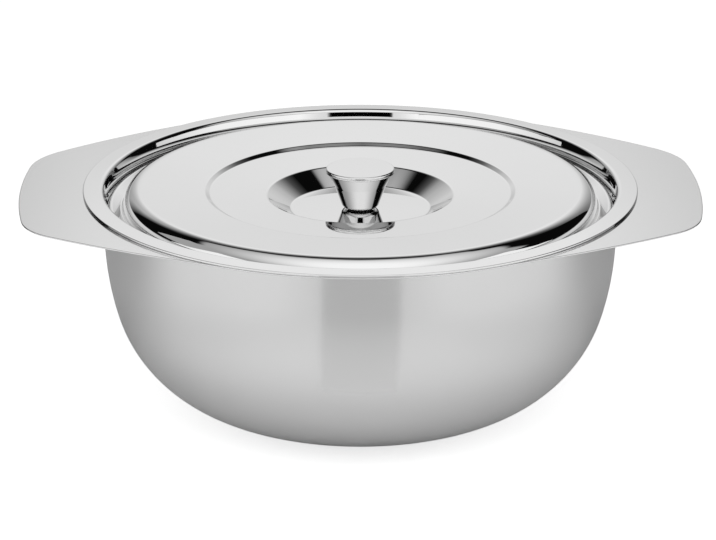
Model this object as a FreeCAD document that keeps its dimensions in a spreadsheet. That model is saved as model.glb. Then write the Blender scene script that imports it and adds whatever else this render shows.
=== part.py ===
import FreeCAD, Part
import Sketcher
import copy
import math
import os

# Insulated chapati casserole, in millimetres.
# A double-walled sheet-metal bowl carries a brim with two wing handles. A lift-off lid, also
# double-walled, sits on a ledge inside the mouth. The origin is the middle of the base, +Z is up
# and the wing handles lie along X.

os.makedirs("parts", exist_ok=True)
doc = FreeCAD.newDocument("chapati_casserole")

SIZES = [
    # mouth, seat and brim of the bowl
    ("mouth_height", 109.6, "level of the corner between mouth wall and brim ring"),
    ("mouth_radius", 119.7, "radius of that corner"),
    ("mouth_taper", 1.9, "how much the mouth wall closes in down to the ledge"),
    ("mouth_bend", 2.0, "rounding of the mouth edge"),
    ("mouth_flare", 1.6, "how much of the taper lies in the flare at the top of that wall"),
    ("mouth_flare_drop", 5.0, "from the mouth corner down to where the flare starts"),
    ("mouth_flare_bend", 12.0, "rounding there"),
    ("ring_width", 9.2, "from the mouth corner to the edge of the ring"),
    ("hem_width", 7.4, "width of the doubled edge of the ring"),
    ("hem_round", 0.5, "rounding of the hem's nose"),
    ("brim_fall", 3.4, "degrees by which ring and wings fall outwards"),
    ("ledge_drop", 10.7, "from the mouth corner down to the ledge the lid sits on"),
    ("ledge_width", 4.5, "width of the ledge"),
    ("ledge_bend", 1.4, "rounding of the ledge's inner edge"),
    ("ledge_root", 0.9, "rounding where the ledge meets the mouth wall"),
    ("bend_limit", 1.0794, "largest measure for the bowl's bends, per mouth height"),
    # inner liner
    ("liner_sheet", 0.6, "thickness of the liner's sheet"),
    ("liner_taper", 7.3, "how much the liner wall closes in down to its floor"),
    ("liner_sole_share", 1.014, "radius at the rim of the liner's floor, per bend measure"),
    ("liner_sole_turn", 17.0, "degrees turned by that radius"),
    ("liner_heel_share", 0.49, "radius between liner floor and liner wall, per bend measure"),
    # outer shell
    ("shell_sheet", 0.7, "thickness of the shell's sheet"),
    ("shell_gap", 0.55, "gap between liner and shell at the ledge"),
    ("shell_taper", 2.1, "how much the shell wall closes in down to the base"),
    ("shell_sole_share", 1.141, "radius at the rim of the base, per bend measure"),
    ("shell_sole_turn", 17.0, "degrees turned by that radius"),
    ("shell_heel_share", 0.558, "radius of the lower side, per bend measure"),
    ("shell_heel_turn", 56.5, "degrees turned by that radius"),
    ("shell_flank_share", 1.141, "radius that eases the side into the wall, per bend measure"),
    ("brim_bend", 3.3, "rounding under the brim"),
    ("base_insulation", 9.3, "foam between shell and liner under the floor"),
    ("recess_height", 1.8, "height of the recess in the middle of the base"),
    ("recess_radius", 13.0, "radius of the recess's flat"),
    ("recess_rim", 15.4, "radius where the base starts"),
    ("recess_bend", 1.2, "rounding of the recess"),
    # plan of the wings
    ("wing_length", 29.5, "from the ring's edge to the wing's tip"),
    ("wing_bow", 300.0, "radius of the wing's end"),
    ("wing_corner", 34.7, "radius of the wing's corners"),
    ("wing_side_bow", 400.0, "radius that eases the wing's side into the corner"),
    ("wing_side_turn", 10.5, "degrees turned by that radius"),
    ("wing_angle", 27.3, "degrees between the wing's side and X"),
    ("blank_margin", 14.0, "sheet beyond the wing's tip before the brim is trimmed"),
    # foam and its filler plugs
    ("foam_gap", 0.1, "gap between the foam and what it fills"),
    ("fill_hole_radius", 6.0, "hole through which the foam is filled in"),
    ("plug_gap", 0.1, "gap between the plug and its hole"),
    ("plug_head_radius", 9.0, "radius of the plug's head"),
    ("plug_head_height", 1.2, "height of the plug's head"),
    ("plug_head_round", 0.5, "rounding of the plug's head"),
    ("plug_barb", 0.8, "how far the plug's barb stands out behind the sheet"),
    ("plug_tail", 2.6, "length of the plug behind the sheet"),
    ("plug_lead", 1.2, "taper of the plug's tail"),
    # lid
    ("lid_gap", 0.8, "gap between the lid's bead and the mouth wall"),
    ("lid_sheet", 0.5, "thickness of the lid's sheets"),
    ("lip_width", 6.7, "from the shoulder's foot to the edge of the bead"),
    ("lip_angle", 30.0, "degrees by which the lip rises outwards"),
    ("bead_bend", 1.3, "outer radius of the rolled bead"),
    ("bead_side", 0.12, "straight part of the bead's side"),
    ("bead_reach", 2.8, "how far the bead rolls back under the lip"),
    ("shoulder_root", 1.0, "rounding at the shoulder's foot"),
    ("shoulder_share", 0.75, "rounding of the shoulder, per height of the shoulder"),
    ("crown_drop", 0.2, "from the mouth corner down to the crown's edge"),
    ("crown_inner_radius", 72.2, "inner edge of the crown"),
    ("crown_inner_drop", 2.25, "drop of that edge"),
    ("step_radius", 70.0, "foot of the step inside the crown"),
    ("step_drop", 3.6, "drop of that foot"),
    ("step_bend", 1.5, "rounding of the step's edge and foot"),
    ("web_radius", 43.5, "edge of the dish"),
    ("web_drop", 4.6, "drop of that edge"),
    ("web_bend", 2.5, "rounding of the dish's edge"),
    ("dish_radius", 32.4, "floor of the dish"),
    ("dish_drop", 11.4, "drop of the dish's floor"),
    ("dish_bend", 2.0, "rounding of the dish's floor"),
    ("foam_bridge", 1.2, "foam between the knob's screw and the lid's filler plug"),
    ("pan_taper", 3.0, "how much the pan closes in down to its floor"),
    ("pan_heel_bend", 8.0, "radius between pan floor and pan wall"),
    ("pan_neck_inset", 1.3, "from the shoulder's foot in to the pan's neck"),
    ("pan_neck_bend", 1.2, "rounding of the pan's neck"),
    ("pan_edge_gap", 0.05, "from where the bead's bend starts in to the pan's edge"),
    # knob
    ("knob_height", 19.3, "from the dish's floor to the top of the knob"),
    ("knob_sheet", 0.8, "thickness of the knob's cup"),
    ("knob_foot_radius", 8.2, "corner radius of the cup's foot"),
    ("knob_foot_bend", 2.6, "rounding of the cup's foot"),
    ("knob_neck_radius", 12.1, "radius where the cup starts to flare"),
    ("knob_flare_height", 6.1, "height of the flare"),
    ("knob_neck_bend", 5.0, "rounding where the flare starts"),
    ("knob_flare_radius", 15.4, "radius where the flare turns flat"),
    ("knob_flare_bend", 0.2, "rounding there"),
    ("knob_rim_radius", 16.0, "radius of the cup's lip"),
    ("cap_sheet", 1.2, "thickness of the knob's cap"),
    ("cap_inset", 0.1, "how far the cap stays inside the cup's lip"),
    ("cap_round", 0.7, "rounding of the cap's edge"),
    ("cap_skirt_radius", 13.4, "radius of the skirt that centres the cap"),
    ("cap_skirt_height", 2.0, "height of that skirt"),
    ("seal_radius", 5.6, "radius of the seal under the knob"),
    ("seal_sheet", 0.5, "thickness of that seal"),
    # fasteners of the knob
    ("screw_radius", 2.5, "nominal radius of the M5 thread"),
    ("screw_length", 10.0, "length of the screw under its head"),
    ("screw_head_radius", 4.75, "radius of the screw's head"),
    ("screw_head_height", 3.5, "height of the screw's head"),
    ("screw_head_round", 1.4, "rounding of the screw's head"),
    ("screw_slot_width", 1.2, "width of the slot in the head"),
    ("screw_slot_depth", 1.6, "depth of that slot"),
    ("screw_gap", 0.25, "gap between the screw and the holes it passes"),
    ("thread_gap", 0.03, "gap between the screw and the nut's thread"),
    ("washer_radius", 5.0, "radius of the flat washer"),
    ("washer_sheet", 1.0, "thickness of the flat washer"),
    ("spring_radius", 4.6, "radius of the spring washer"),
    ("spring_sheet", 1.2, "thickness of the spring washer"),
    ("spring_split", 1.0, "width of the spring washer's split"),
    ("nut_flats", 8.0, "width of the nut across its flats"),
    ("nut_height", 4.0, "height of the nut"),
    ("hardware_gap", 0.6, "room in the foam around the screw, washers and nut"),
]

dims = doc.addObject("Spreadsheet::Sheet", "dims")
for row, (alias, value, meaning) in enumerate(SIZES, start=1):
    dims.set(f"A{row}", alias)
    dims.set(f"B{row}", str(value))
    dims.set(f"C{row}", meaning)
    dims.setAlias(f"B{row}", alias)
doc.recompute()


# ------------------------------------------------------------------ places worked out from sizes

RING_RADIUS = "(dims.mouth_radius + dims.ring_width)"
SEAT_RADIUS = "(dims.mouth_radius - dims.mouth_taper)"
LEDGE_LEVEL = "(dims.mouth_height - dims.ledge_drop)"
HEM = "(2 * dims.liner_sheet)"
SHELL_RADIUS = f"({SEAT_RADIUS} + dims.liner_sheet + dims.shell_gap + dims.shell_sheet)"
SHELL_FOOT = f"({SHELL_RADIUS} - dims.shell_taper)"
LINER_WALL = f"({SEAT_RADIUS} - dims.ledge_width)"
LINER_FOOT = f"({LINER_WALL} - dims.liner_taper)"
LINER_FLOOR = "(dims.shell_sheet + dims.base_insulation + dims.liner_sheet)"
WING_REACH = f"({RING_RADIUS} + dims.wing_length)"
BLANK_RADIUS = f"({WING_REACH} + dims.blank_margin)"
FOAM_TOP = f"({LEDGE_LEVEL} - dims.liner_sheet - dims.ledge_bend)"

FOAM_RIM = "(dims.recess_rim + dims.recess_bend)"
PLUG_ROOM = "(dims.fill_hole_radius + dims.plug_barb + dims.foam_gap)"

LID_RADIUS = f"({SEAT_RADIUS} - dims.lid_gap)"
BEAD_RUN = "(dims.bead_bend * tan((90 + dims.lip_angle) / 2))"
BEAD_TOP = f"({BEAD_RUN} + dims.bead_side + dims.bead_bend - dims.ledge_drop)"
SHOULDER_RADIUS = f"({LID_RADIUS} - dims.lip_width)"
PAN_NECK = f"({SHOULDER_RADIUS} - dims.pan_neck_inset)"
PAN_FOOT = f"({PAN_NECK} - dims.pan_taper)"
PAN_EDGE = f"({LID_RADIUS} - {BEAD_RUN} * cos(dims.lip_angle) - dims.pan_edge_gap)"
HOLE_RADIUS = "(dims.screw_radius + dims.screw_gap)"
SCREW_SEAT = "(dims.seal_sheet + dims.knob_sheet)"
SCREW_END = f"({SCREW_SEAT} - dims.screw_length)"
WELL_FLOOR = f"({SCREW_END} - dims.dish_drop - dims.hardware_gap)"
LID_PLUG_TOP = f"({WELL_FLOOR} - dims.foam_bridge)"
PAN_FLOOR = f"({LID_PLUG_TOP} - dims.foam_gap - dims.plug_tail)"


def brim_level(radius, depth):
    """Level at a radius of the face that lies a depth below the top of the brim ring."""
    fall = f"({radius} - dims.mouth_radius) * tan(dims.brim_fall)"
    return f"(dims.mouth_height - {fall} - ({depth}) / cos(dims.brim_fall))"


def lip_level(radius, depth):
    """Level, from the mouth corner, of the face that lies a depth below the lid's lip."""
    fall = f"({LID_RADIUS} - {radius}) * tan(dims.lip_angle)"
    return f"({BEAD_TOP} - {fall} - ({depth}) / cos(dims.lip_angle))"


def bowl_bend(alias):
    """A radius that follows the bowl's bend measure: its mouth radius, unless it is shallow."""
    return f"(min(dims.mouth_radius; dims.bend_limit * dims.mouth_height) * dims.{alias})"


def number(expression):
    """The present value of an expression over the sheet."""
    value = dims.evalExpression(expression)
    return float(getattr(value, "Value", value))


# ------------------------------------------------------------------ sketches

ORIGIN = (-1, 1)
START, END, CENTRE = 1, 2, 3
LEFT, RIGHT = 1, -1


def point(pair):
    return FreeCAD.Vector(pair[0], pair[1], 0)


def moved(place, heading, distance):
    """The place reached from a place by going a distance along a heading in radians."""
    return (place[0] + distance * math.cos(heading), place[1] + distance * math.sin(heading))


class Run:
    """A straight edge, from its start to its end along the path."""

    first, last = START, END

    def __init__(self, start, end):
        self.start = start
        self.end = end
        self.heading = math.atan2(end[1] - start[1], end[0] - start[0])

    def shape(self):
        return Part.LineSegment(point(self.start), point(self.end))

    def beside(self, distance, side):
        shift = self.heading + side * math.pi / 2
        return Run(moved(self.start, shift, distance), moved(self.end, shift, distance))


class Bend:
    """A round edge that leaves a place on a heading and turns left (+) or right (-)."""

    def __init__(self, start, heading, radius, turn):
        self.side = LEFT if turn > 0 else RIGHT
        self.first, self.last = (START, END) if turn > 0 else (END, START)
        self.centre = moved(start, heading + self.side * math.pi / 2, radius)
        self.radius = radius
        self.from_angle = heading - self.side * math.pi / 2
        self.to_angle = self.from_angle + turn
        self.end = moved(self.centre, self.to_angle, radius)

    def shape(self):
        circle = Part.Circle(point(self.centre), FreeCAD.Vector(0, 0, 1), self.radius)
        return Part.ArcOfCircle(circle, *sorted((self.from_angle, self.to_angle)))

    def beside(self, distance, side):
        bend = copy.copy(self)
        bend.radius = self.radius - side * self.side * distance
        bend.end = moved(self.centre, self.to_angle, bend.radius)
        return bend


class Outline:
    """The edges of one sketch, and the sizes that hold them."""

    def __init__(self, body, name, plane):
        self.sketch = body.newObject("Sketcher::SketchObject", name)
        origin_plane = [item for item in body.Origin.OriginFeatures if item.Role == plane][0]
        self.sketch.AttachmentSupport = (origin_plane, "")
        self.sketch.MapMode = "FlatFace"
        self.shapes = []
        self.construction = []
        self.constraints = []
        self.expressions = {}

    def add(self, edge, construction=False):
        edge.index = len(self.shapes)
        self.shapes.append(edge.shape())
        self.construction.append(construction)
        return edge

    def hold(self, kind, *places, size=None):
        """Adds a constraint, and binds it to a size where one is given."""
        if size is None:
            self.constraints.append(Sketcher.Constraint(kind, *places))
            return
        value = number(size)
        if kind == "Angle":
            value = math.radians(value)
            size = f"({size}) * 1 deg"
        self.expressions[len(self.constraints)] = size
        self.constraints.append(Sketcher.Constraint(kind, *places, value))

    def fix(self, index, place, across, up):
        """Holds a point at a distance across and up from the origin."""
        for kind, size, axis in (("DistanceX", across, -2), ("DistanceY", up, -1)):
            if size == "0":
                self.hold("PointOnObject", index, place, axis)
            else:
                self.hold(kind, *ORIGIN, index, place, size=size)

    def trace(self, corners, closed=False, construction=False):
        """Straight runs between corners, each a (across, up, bends) with bends as (radius, turn).

        A corner with several bends is a compound curve: each bend but the last has its own turn,
        in degrees, and the last one turns what is left.
        """
        count = len(corners)
        spots = [(number(corner[0]), number(corner[1])) for corner in corners]
        legs = count if closed else count - 1
        headings = []
        for leg in range(legs):
            here, there = spots[leg], spots[(leg + 1) % count]
            headings.append(math.atan2(there[1] - here[1], there[0] - here[0]))
        starts = {leg: spots[leg] for leg in range(legs)}
        ends = {leg: spots[(leg + 1) % count] for leg in range(legs)}
        curves = {}
        for corner in range(0 if closed else 1, count if closed else count - 1):
            bends = corners[corner][2] if len(corners[corner]) > 2 else []
            if not bends:
                continue
            before, after = (corner - 1) % legs, corner
            curve = compound(headings[before], headings[after], bends)
            reach_in, reach_out = tangent_lengths(headings[before], headings[after], curve)
            ends[before] = moved(spots[corner], headings[before], -reach_in)
            starts[after] = moved(spots[corner], headings[after], reach_out)
            curves[corner] = (curve, bends)
        path = []
        runs = {}
        for leg in range(legs):
            runs[leg] = self.add(Run(starts[leg], ends[leg]), construction)
            path.append(runs[leg])
            corner = (leg + 1) % count
            if corner in curves:
                path.extend(self.round_corner(runs[leg], *curves[corner], construction))
        self.join(path, closed)
        for corner, spot in enumerate(spots):
            across, up = corners[corner][0], corners[corner][1]
            if corner in curves:
                self.shapes.append(Part.Point(point(spot)))
                self.construction.append(True)
                index = len(self.shapes) - 1
                self.fix(index, START, across, up)
                self.hold("PointOnObject", index, START, runs[(corner - 1) % legs].index)
                self.hold("PointOnObject", index, START, runs[corner].index)
            elif corner < legs:
                self.fix(runs[corner].index, START, across, up)
            else:
                self.fix(runs[legs - 1].index, END, across, up)
        return path

    def round_corner(self, run, curve, bends, construction):
        place, heading = run.end, run.heading
        edges = []
        for (radius, turn), (radius_size, turn_size) in zip(curve, bends):
            bend = self.add(Bend(place, heading, radius, turn), construction)
            self.hold("Radius", bend.index, size=radius_size)
            if turn_size is not None:
                self.hold("Angle", bend.index, size=turn_size)
            place, heading = bend.end, heading + turn
            edges.append(bend)
        return edges

    def join(self, path, closed=False):
        """Joins each edge to the next: tangent at a bend, end to end between two runs."""
        pairs = list(zip(path, path[1:]))
        if closed:
            pairs.append((path[-1], path[0]))
        for edge, after in pairs:
            smooth = isinstance(edge, Bend) or isinstance(after, Bend)
            kind = "Tangent" if smooth else "Coincident"
            self.hold(kind, edge.index, edge.last, after.index, after.first)

    def beside(self, path, distance, side, construction=False):
        """A copy of a smooth path, a distance to its left or right."""
        gap = number(distance)
        copies = [self.add(edge.beside(gap, side), construction) for edge in path]
        self.join(copies)
        self.hold("Distance", copies[0].index, START, path[0].index, size=distance)
        for edge, twin in zip(path, copies):
            if isinstance(edge, Run):
                self.hold("Parallel", twin.index, edge.index)
            else:
                self.hold("Coincident", twin.index, CENTRE, edge.index, CENTRE)
        return copies

    def link(self, edge, place, other, other_place):
        """A straight edge from a point of one edge to a point of another."""
        ends = [item.end if spot == item.last else item.start
                for item, spot in ((edge, place), (other, other_place))]
        run = self.add(Run(*ends))
        self.hold("Coincident", run.index, START, edge.index, place)
        self.hold("Coincident", run.index, END, other.index, other_place)
        return run

    def sheet(self, corners, thickness, side):
        """The section of a bent sheet: one face through the corners, the other beside it."""
        face = self.trace(corners)
        back = self.beside(face, thickness, side)
        for edge, twin, place in ((face[0], back[0], START), (face[-1], back[-1], END)):
            rim = self.link(edge, place, twin, place)
            self.hold("Perpendicular", rim.index, edge.index)

    def ring(self, radius):
        """A circle round the origin."""
        circle = Part.Circle(FreeCAD.Vector(0, 0, 0), FreeCAD.Vector(0, 0, 1), number(radius))
        self.shapes.append(circle)
        self.construction.append(False)
        index = len(self.shapes) - 1
        self.hold("Coincident", index, CENTRE, *ORIGIN)
        self.hold("Radius", index, size=radius)

    def finish(self):
        for shape, construction in zip(self.shapes, self.construction):
            self.sketch.addGeometry(shape, construction)
        self.sketch.addConstraint(self.constraints)
        for index, size in self.expressions.items():
            self.sketch.setExpression(f"Constraints[{index}]", size)
        doc.recompute()
        if not self.sketch.FullyConstrained:
            raise ValueError(f"{self.sketch.Label} has loose edges")
        return self.sketch


def compound(heading_in, heading_out, bends):
    """The radius and signed turn, in radians, of each bend of a corner."""
    total = math.remainder(heading_out - heading_in, 2 * math.pi)
    side = LEFT if total > 0 else RIGHT
    turns = [side * math.radians(number(turn)) for radius, turn in bends[:-1]]
    turns.append(total - sum(turns))
    return [(number(radius), turn) for (radius, size), turn in zip(bends, turns)]


def tangent_lengths(heading_in, heading_out, curve):
    """How far before and after its corner a curve starts and ends."""
    place, heading = (0.0, 0.0), heading_in
    for radius, turn in curve:
        bend = Bend(place, heading, radius, turn)
        place, heading = bend.end, heading + turn
    cross = math.sin(heading_out - heading_in)
    reach_in = (place[0] * math.sin(heading_out) - place[1] * math.cos(heading_out)) / cross
    reach_out = (place[1] * math.cos(heading_in) - place[0] * math.sin(heading_in)) / cross
    return reach_in, reach_out


# ------------------------------------------------------------------ bodies and features

nodes = []


def make_body(name, level="0"):
    """A body whose own zero level lies at a level of the casserole."""
    body = doc.addObject("PartDesign::Body", name)
    body.Label = name
    body.Placement = FreeCAD.Placement()
    if level != "0":
        body.setExpression("Placement.Base.z", level)
    nodes.append(body)
    return body


def turned(body, name, draw, kind="PartDesign::Revolution"):
    """Turns the section that draw puts into a sketch round the upright axis."""
    outline = Outline(body, name + "_section", "XZ_Plane")
    draw(outline)
    feature = body.newObject(kind, name)
    feature.Profile = outline.finish()
    feature.ReferenceAxis = (outline.sketch, ["V_Axis"])
    feature.Angle = 360
    doc.recompute()
    return feature


def turned_sheet(body, name, corners, thickness, side):
    return turned(body, name, lambda outline: outline.sheet(corners, thickness, side))


def turned_loop(body, name, corners):
    return turned(body, name, lambda outline: outline.trace(corners, closed=True))


def cut(body, name, sketch, upwards, depth=None):
    """Cuts a sketch out of a body, all the way or to a depth, and checks that it cut."""
    before = body.Shape.Volume
    pocket = body.newObject("PartDesign::Pocket", name)
    pocket.Profile = sketch
    pocket.Reversed = upwards
    if depth is None:
        pocket.Type = "ThroughAll"
    else:
        pocket.Type = "Length"
        pocket.setExpression("Length", depth)
    doc.recompute()
    if body.Shape.Volume >= before:
        raise ValueError(f"{name} cuts nothing")
    return pocket


# ------------------------------------------------------------------ bowl

SHELL_CORNERS = [
    ("dims.fill_hole_radius", "dims.recess_height"),
    ("dims.recess_radius", "dims.recess_height", [("dims.recess_bend", None)]),
    ("dims.recess_rim", "0", [("dims.recess_bend", None)]),
    (SHELL_FOOT, "0", [
        (bowl_bend("shell_sole_share"), "dims.shell_sole_turn"),
        (bowl_bend("shell_heel_share"), "dims.shell_heel_turn"),
        (bowl_bend("shell_flank_share"), None),
    ]),
    (SHELL_RADIUS, brim_level(SHELL_RADIUS, f"{HEM} + dims.shell_sheet"),
     [("dims.brim_bend", None)]),
    (BLANK_RADIUS, brim_level(BLANK_RADIUS, f"{HEM} + dims.shell_sheet")),
]

LINER_CORNERS = [
    ("0", LINER_FLOOR),
    (LINER_FOOT, LINER_FLOOR, [
        (bowl_bend("liner_sole_share"), "dims.liner_sole_turn"),
        (bowl_bend("liner_heel_share"), None),
    ]),
    (LINER_WALL, LEDGE_LEVEL, [("dims.ledge_bend", None)]),
    (SEAT_RADIUS, LEDGE_LEVEL, [("dims.ledge_root", None)]),
    ("(dims.mouth_radius - dims.mouth_flare)", "(dims.mouth_height - dims.mouth_flare_drop)",
     [("dims.mouth_flare_bend", None)]),
    ("dims.mouth_radius", "dims.mouth_height", [("dims.mouth_bend", None)]),
    (f"({RING_RADIUS} - dims.liner_sheet)", brim_level(f"({RING_RADIUS} - dims.liner_sheet)", "0")),
]


def wing_corner():
    """The compound corner of a wing: centres of its end, corner and side bows, and their turns.

    The side runs straight off the ring at the wing's angle, bows, rounds the corner and meets
    the end, whose centre lies on X.
    """
    ring, reach = number(RING_RADIUS), number(WING_REACH)
    bow, corner = number("dims.wing_bow"), number("dims.wing_corner")
    side_bow = number("dims.wing_side_bow")
    side_turn = math.radians(number("dims.wing_side_turn"))
    across = math.pi / 2 - math.radians(number("dims.wing_angle"))
    end_centre = (reach - bow, 0.0)
    height = ring - side_bow + (side_bow - corner) * math.cos(side_turn)
    foot = moved((0.0, 0.0), across, height)
    along = across - math.pi / 2
    offset = (foot[0] - end_centre[0], foot[1] - end_centre[1])
    half = offset[0] * math.cos(along) + offset[1] * math.sin(along)
    rest = offset[0] ** 2 + offset[1] ** 2 - (bow - corner) ** 2
    corner_centre = moved(foot, along, -half + math.sqrt(half ** 2 - rest))
    side_centre = moved(corner_centre, across - side_turn, corner - side_bow)
    meeting = math.atan2(corner_centre[1] - end_centre[1], corner_centre[0] - end_centre[0])
    return end_centre, corner_centre, side_centre, meeting, across - side_turn, across


def draw_brim_plan(outline):
    """The outline of the brim: the ring's circle between two wings."""
    end_centre, corner_centre, side_centre, meeting, side_start, across = wing_corner()
    ring, bow = number(RING_RADIUS), number("dims.wing_bow")
    corner, side_bow = number("dims.wing_corner"), number("dims.wing_side_bow")
    wings = []
    for turn in (0.0, math.pi):

        def arc(centre, radius, from_angle, to_angle):
            spin = centre[0] * math.cos(turn), centre[1] * math.cos(turn)
            start = moved(spin, from_angle + turn, radius)
            return Bend(start, from_angle + turn + math.pi / 2, radius, to_angle - from_angle)

        lower_side_centre, lower_corner_centre = [
            (centre[0], -centre[1]) for centre in (side_centre, corner_centre)]
        lower_side = arc(lower_side_centre, side_bow, -across, -side_start)
        lower_corner = arc(lower_corner_centre, corner, -side_start, -meeting)
        tip = arc(end_centre, bow, -meeting, meeting)
        upper_corner = arc(corner_centre, corner, meeting, side_start)
        upper_side = arc(side_centre, side_bow, side_start, across)
        edge = arc((0.0, 0.0), ring, across, math.pi - across)
        side_foot = moved(lower_side.centre, lower_side.from_angle, side_bow)
        lower_run = Run(moved((0.0, 0.0), turn - across, ring), side_foot)
        upper_run = Run(upper_side.end, moved((0.0, 0.0), turn + across, ring))
        wings.append((turn == 0.0, [
            lower_run, lower_side, lower_corner, tip, upper_corner, upper_side, upper_run, edge]))
    path = [outline.add(edge) for right, wing in wings for edge in wing]
    outline.join(path, closed=True)
    for right, wing in wings:
        lower_run, lower_side, lower_corner, tip, upper_corner, upper_side, upper_run, edge = wing
        outline.hold("Coincident", edge.index, CENTRE, *ORIGIN)
        outline.hold("Radius", edge.index, size=RING_RADIUS)
        outline.hold("PointOnObject", tip.index, CENTRE, -1)
        outline.hold("Radius", tip.index, size="dims.wing_bow")
        sign = "" if right else "0 - "
        outline.hold("DistanceX", *ORIGIN, tip.index, CENTRE,
                     size=f"{sign}({WING_REACH} - dims.wing_bow)")
        for bend in (lower_side, upper_side):
            outline.hold("Radius", bend.index, size="dims.wing_side_bow")
            outline.hold("Angle", bend.index, size="dims.wing_side_turn")
        for bend in (lower_corner, upper_corner):
            outline.hold("Radius", bend.index, size="dims.wing_corner")
        base = 0 if right else 180
        outline.hold("Angle", lower_run.index, size=f"{base} + dims.wing_angle")
        outline.hold("Angle", upper_run.index, size=f"{base + 180} - dims.wing_angle")


def make_outer_shell():
    """Outer bowl with its brim, trimmed to the ring and the two wing handles."""
    body = make_body("outer_shell")
    turned_sheet(body, "shell_bowl", SHELL_CORNERS, "dims.shell_sheet", LEFT)
    plan = Outline(body, "brim_plan", "XY_Plane")
    draw_brim_plan(plan)
    plan.ring(f"({BLANK_RADIUS} + dims.blank_margin)")
    cut(body, "brim_trim", plan.finish(), upwards=True)


def make_inner_liner():
    """Inner bowl with the lid's ledge, the mouth wall and the hemmed ring on the brim."""
    body = make_body("inner_liner")
    turned_sheet(body, "liner_bowl", LINER_CORNERS, "dims.liner_sheet", RIGHT)
    inside = f"({RING_RADIUS} - dims.hem_width)"
    nose = [("dims.hem_round", None)]
    turned_loop(body, "ring_hem", [
        (inside, brim_level(inside, "0")),
        (inside, brim_level(inside, HEM)),
        (RING_RADIUS, brim_level(RING_RADIUS, HEM), nose),
        (RING_RADIUS, brim_level(RING_RADIUS, "0"), nose),
    ])


def make_body_foam():
    """Foam between the two bowls, clear of the recess and the plug in the base."""
    body = make_body("body_foam")

    def draw(outline):
        shell = outline.trace(SHELL_CORNERS[2:5], construction=True)
        liner = outline.trace(LINER_CORNERS[:3], construction=True)
        outer = outline.beside(shell, "dims.shell_sheet + dims.foam_gap", LEFT)
        inner = outline.beside(liner, "dims.liner_sheet + dims.foam_gap", RIGHT)
        outline.hold("PointOnObject", inner[0].index, START, -2)
        outline.hold("DistanceX", *ORIGIN, outer[0].index, START, size=FOAM_RIM)
        for wall in (outer[-1], inner[-1]):
            outline.hold("DistanceY", *ORIGIN, wall.index, END, size=FOAM_TOP)
        outline.link(outer[-1], END, inner[-1], END)
        above_recess = "dims.recess_height + dims.shell_sheet + dims.foam_gap"
        hollow = outline.trace([
            ("0", f"{above_recess} + dims.plug_tail"),
            (PLUG_ROOM, f"{above_recess} + dims.plug_tail"),
            (PLUG_ROOM, above_recess),
            (FOAM_RIM, above_recess),
        ])
        outline.link(hollow[-1], END, outer[0], START)
        outline.link(inner[0], START, hollow[0], START)

    turned(body, "body_filling", draw)


def make_fill_plug(name, sheet, level, zero="0"):
    """A plug pushed up through the filling hole of a sheet whose underside is at a level."""
    body = make_body(name, zero)
    stem = "(dims.fill_hole_radius - dims.plug_gap)"
    barb = "(dims.fill_hole_radius + dims.plug_barb)"
    behind = f"({level} + {sheet} + dims.plug_gap)"
    turned_loop(body, name + "_turned", [
        ("0", f"{level} - dims.plug_head_height"),
        ("dims.plug_head_radius", f"{level} - dims.plug_head_height",
         [("dims.plug_head_round", None)]),
        ("dims.plug_head_radius", level),
        (stem, level),
        (stem, behind),
        (barb, behind),
        (f"{barb} - dims.plug_lead", f"{level} + {sheet} + dims.plug_tail"),
        ("0", f"{level} + {sheet} + dims.plug_tail"),
    ])


# ------------------------------------------------------------------ lid

SHOULDER_FOOT = lip_level(SHOULDER_RADIUS, "0")
SHOULDER_BEND = f"((0 - dims.crown_drop - {SHOULDER_FOOT}) * dims.shoulder_share)"

LID_CORNERS = [
    (HOLE_RADIUS, "0 - dims.dish_drop"),
    ("dims.dish_radius", "0 - dims.dish_drop", [("dims.dish_bend", None)]),
    ("dims.web_radius", "0 - dims.web_drop", [("dims.web_bend", None)]),
    ("dims.step_radius", "0 - dims.step_drop", [("dims.step_bend", None)]),
    ("dims.crown_inner_radius", "0 - dims.crown_inner_drop", [("dims.step_bend", None)]),
    (SHOULDER_RADIUS, "0 - dims.crown_drop", [(SHOULDER_BEND, None)]),
    (SHOULDER_RADIUS, SHOULDER_FOOT, [("dims.shoulder_root", None)]),
    (LID_RADIUS, BEAD_TOP, [("dims.bead_bend", None)]),
    (LID_RADIUS, "0 - dims.ledge_drop", [("dims.bead_bend", None)]),
    (f"({LID_RADIUS} - dims.bead_reach)", "0 - dims.ledge_drop"),
]

PAN_CORNERS = [
    ("dims.fill_hole_radius", PAN_FLOOR),
    (PAN_FOOT, PAN_FLOOR, [("dims.pan_heel_bend", None)]),
    (PAN_NECK, lip_level(PAN_NECK, "dims.lid_sheet"), [("dims.pan_neck_bend", None)]),
    (PAN_EDGE, lip_level(PAN_EDGE, "dims.lid_sheet")),
]


def make_lid_top():
    """Pressed top of the lid: dish, crown, shoulder, lip and the bead rolled round the pan."""
    body = make_body("lid_top", "dims.mouth_height")
    turned_sheet(body, "lid_top_pressing", LID_CORNERS, "dims.lid_sheet", RIGHT)


def make_lid_pan():
    """Pressed underside of the lid, held in the bead."""
    body = make_body("lid_pan", "dims.mouth_height")
    turned_sheet(body, "lid_pan_pressing", PAN_CORNERS, "dims.lid_sheet", RIGHT)


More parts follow.
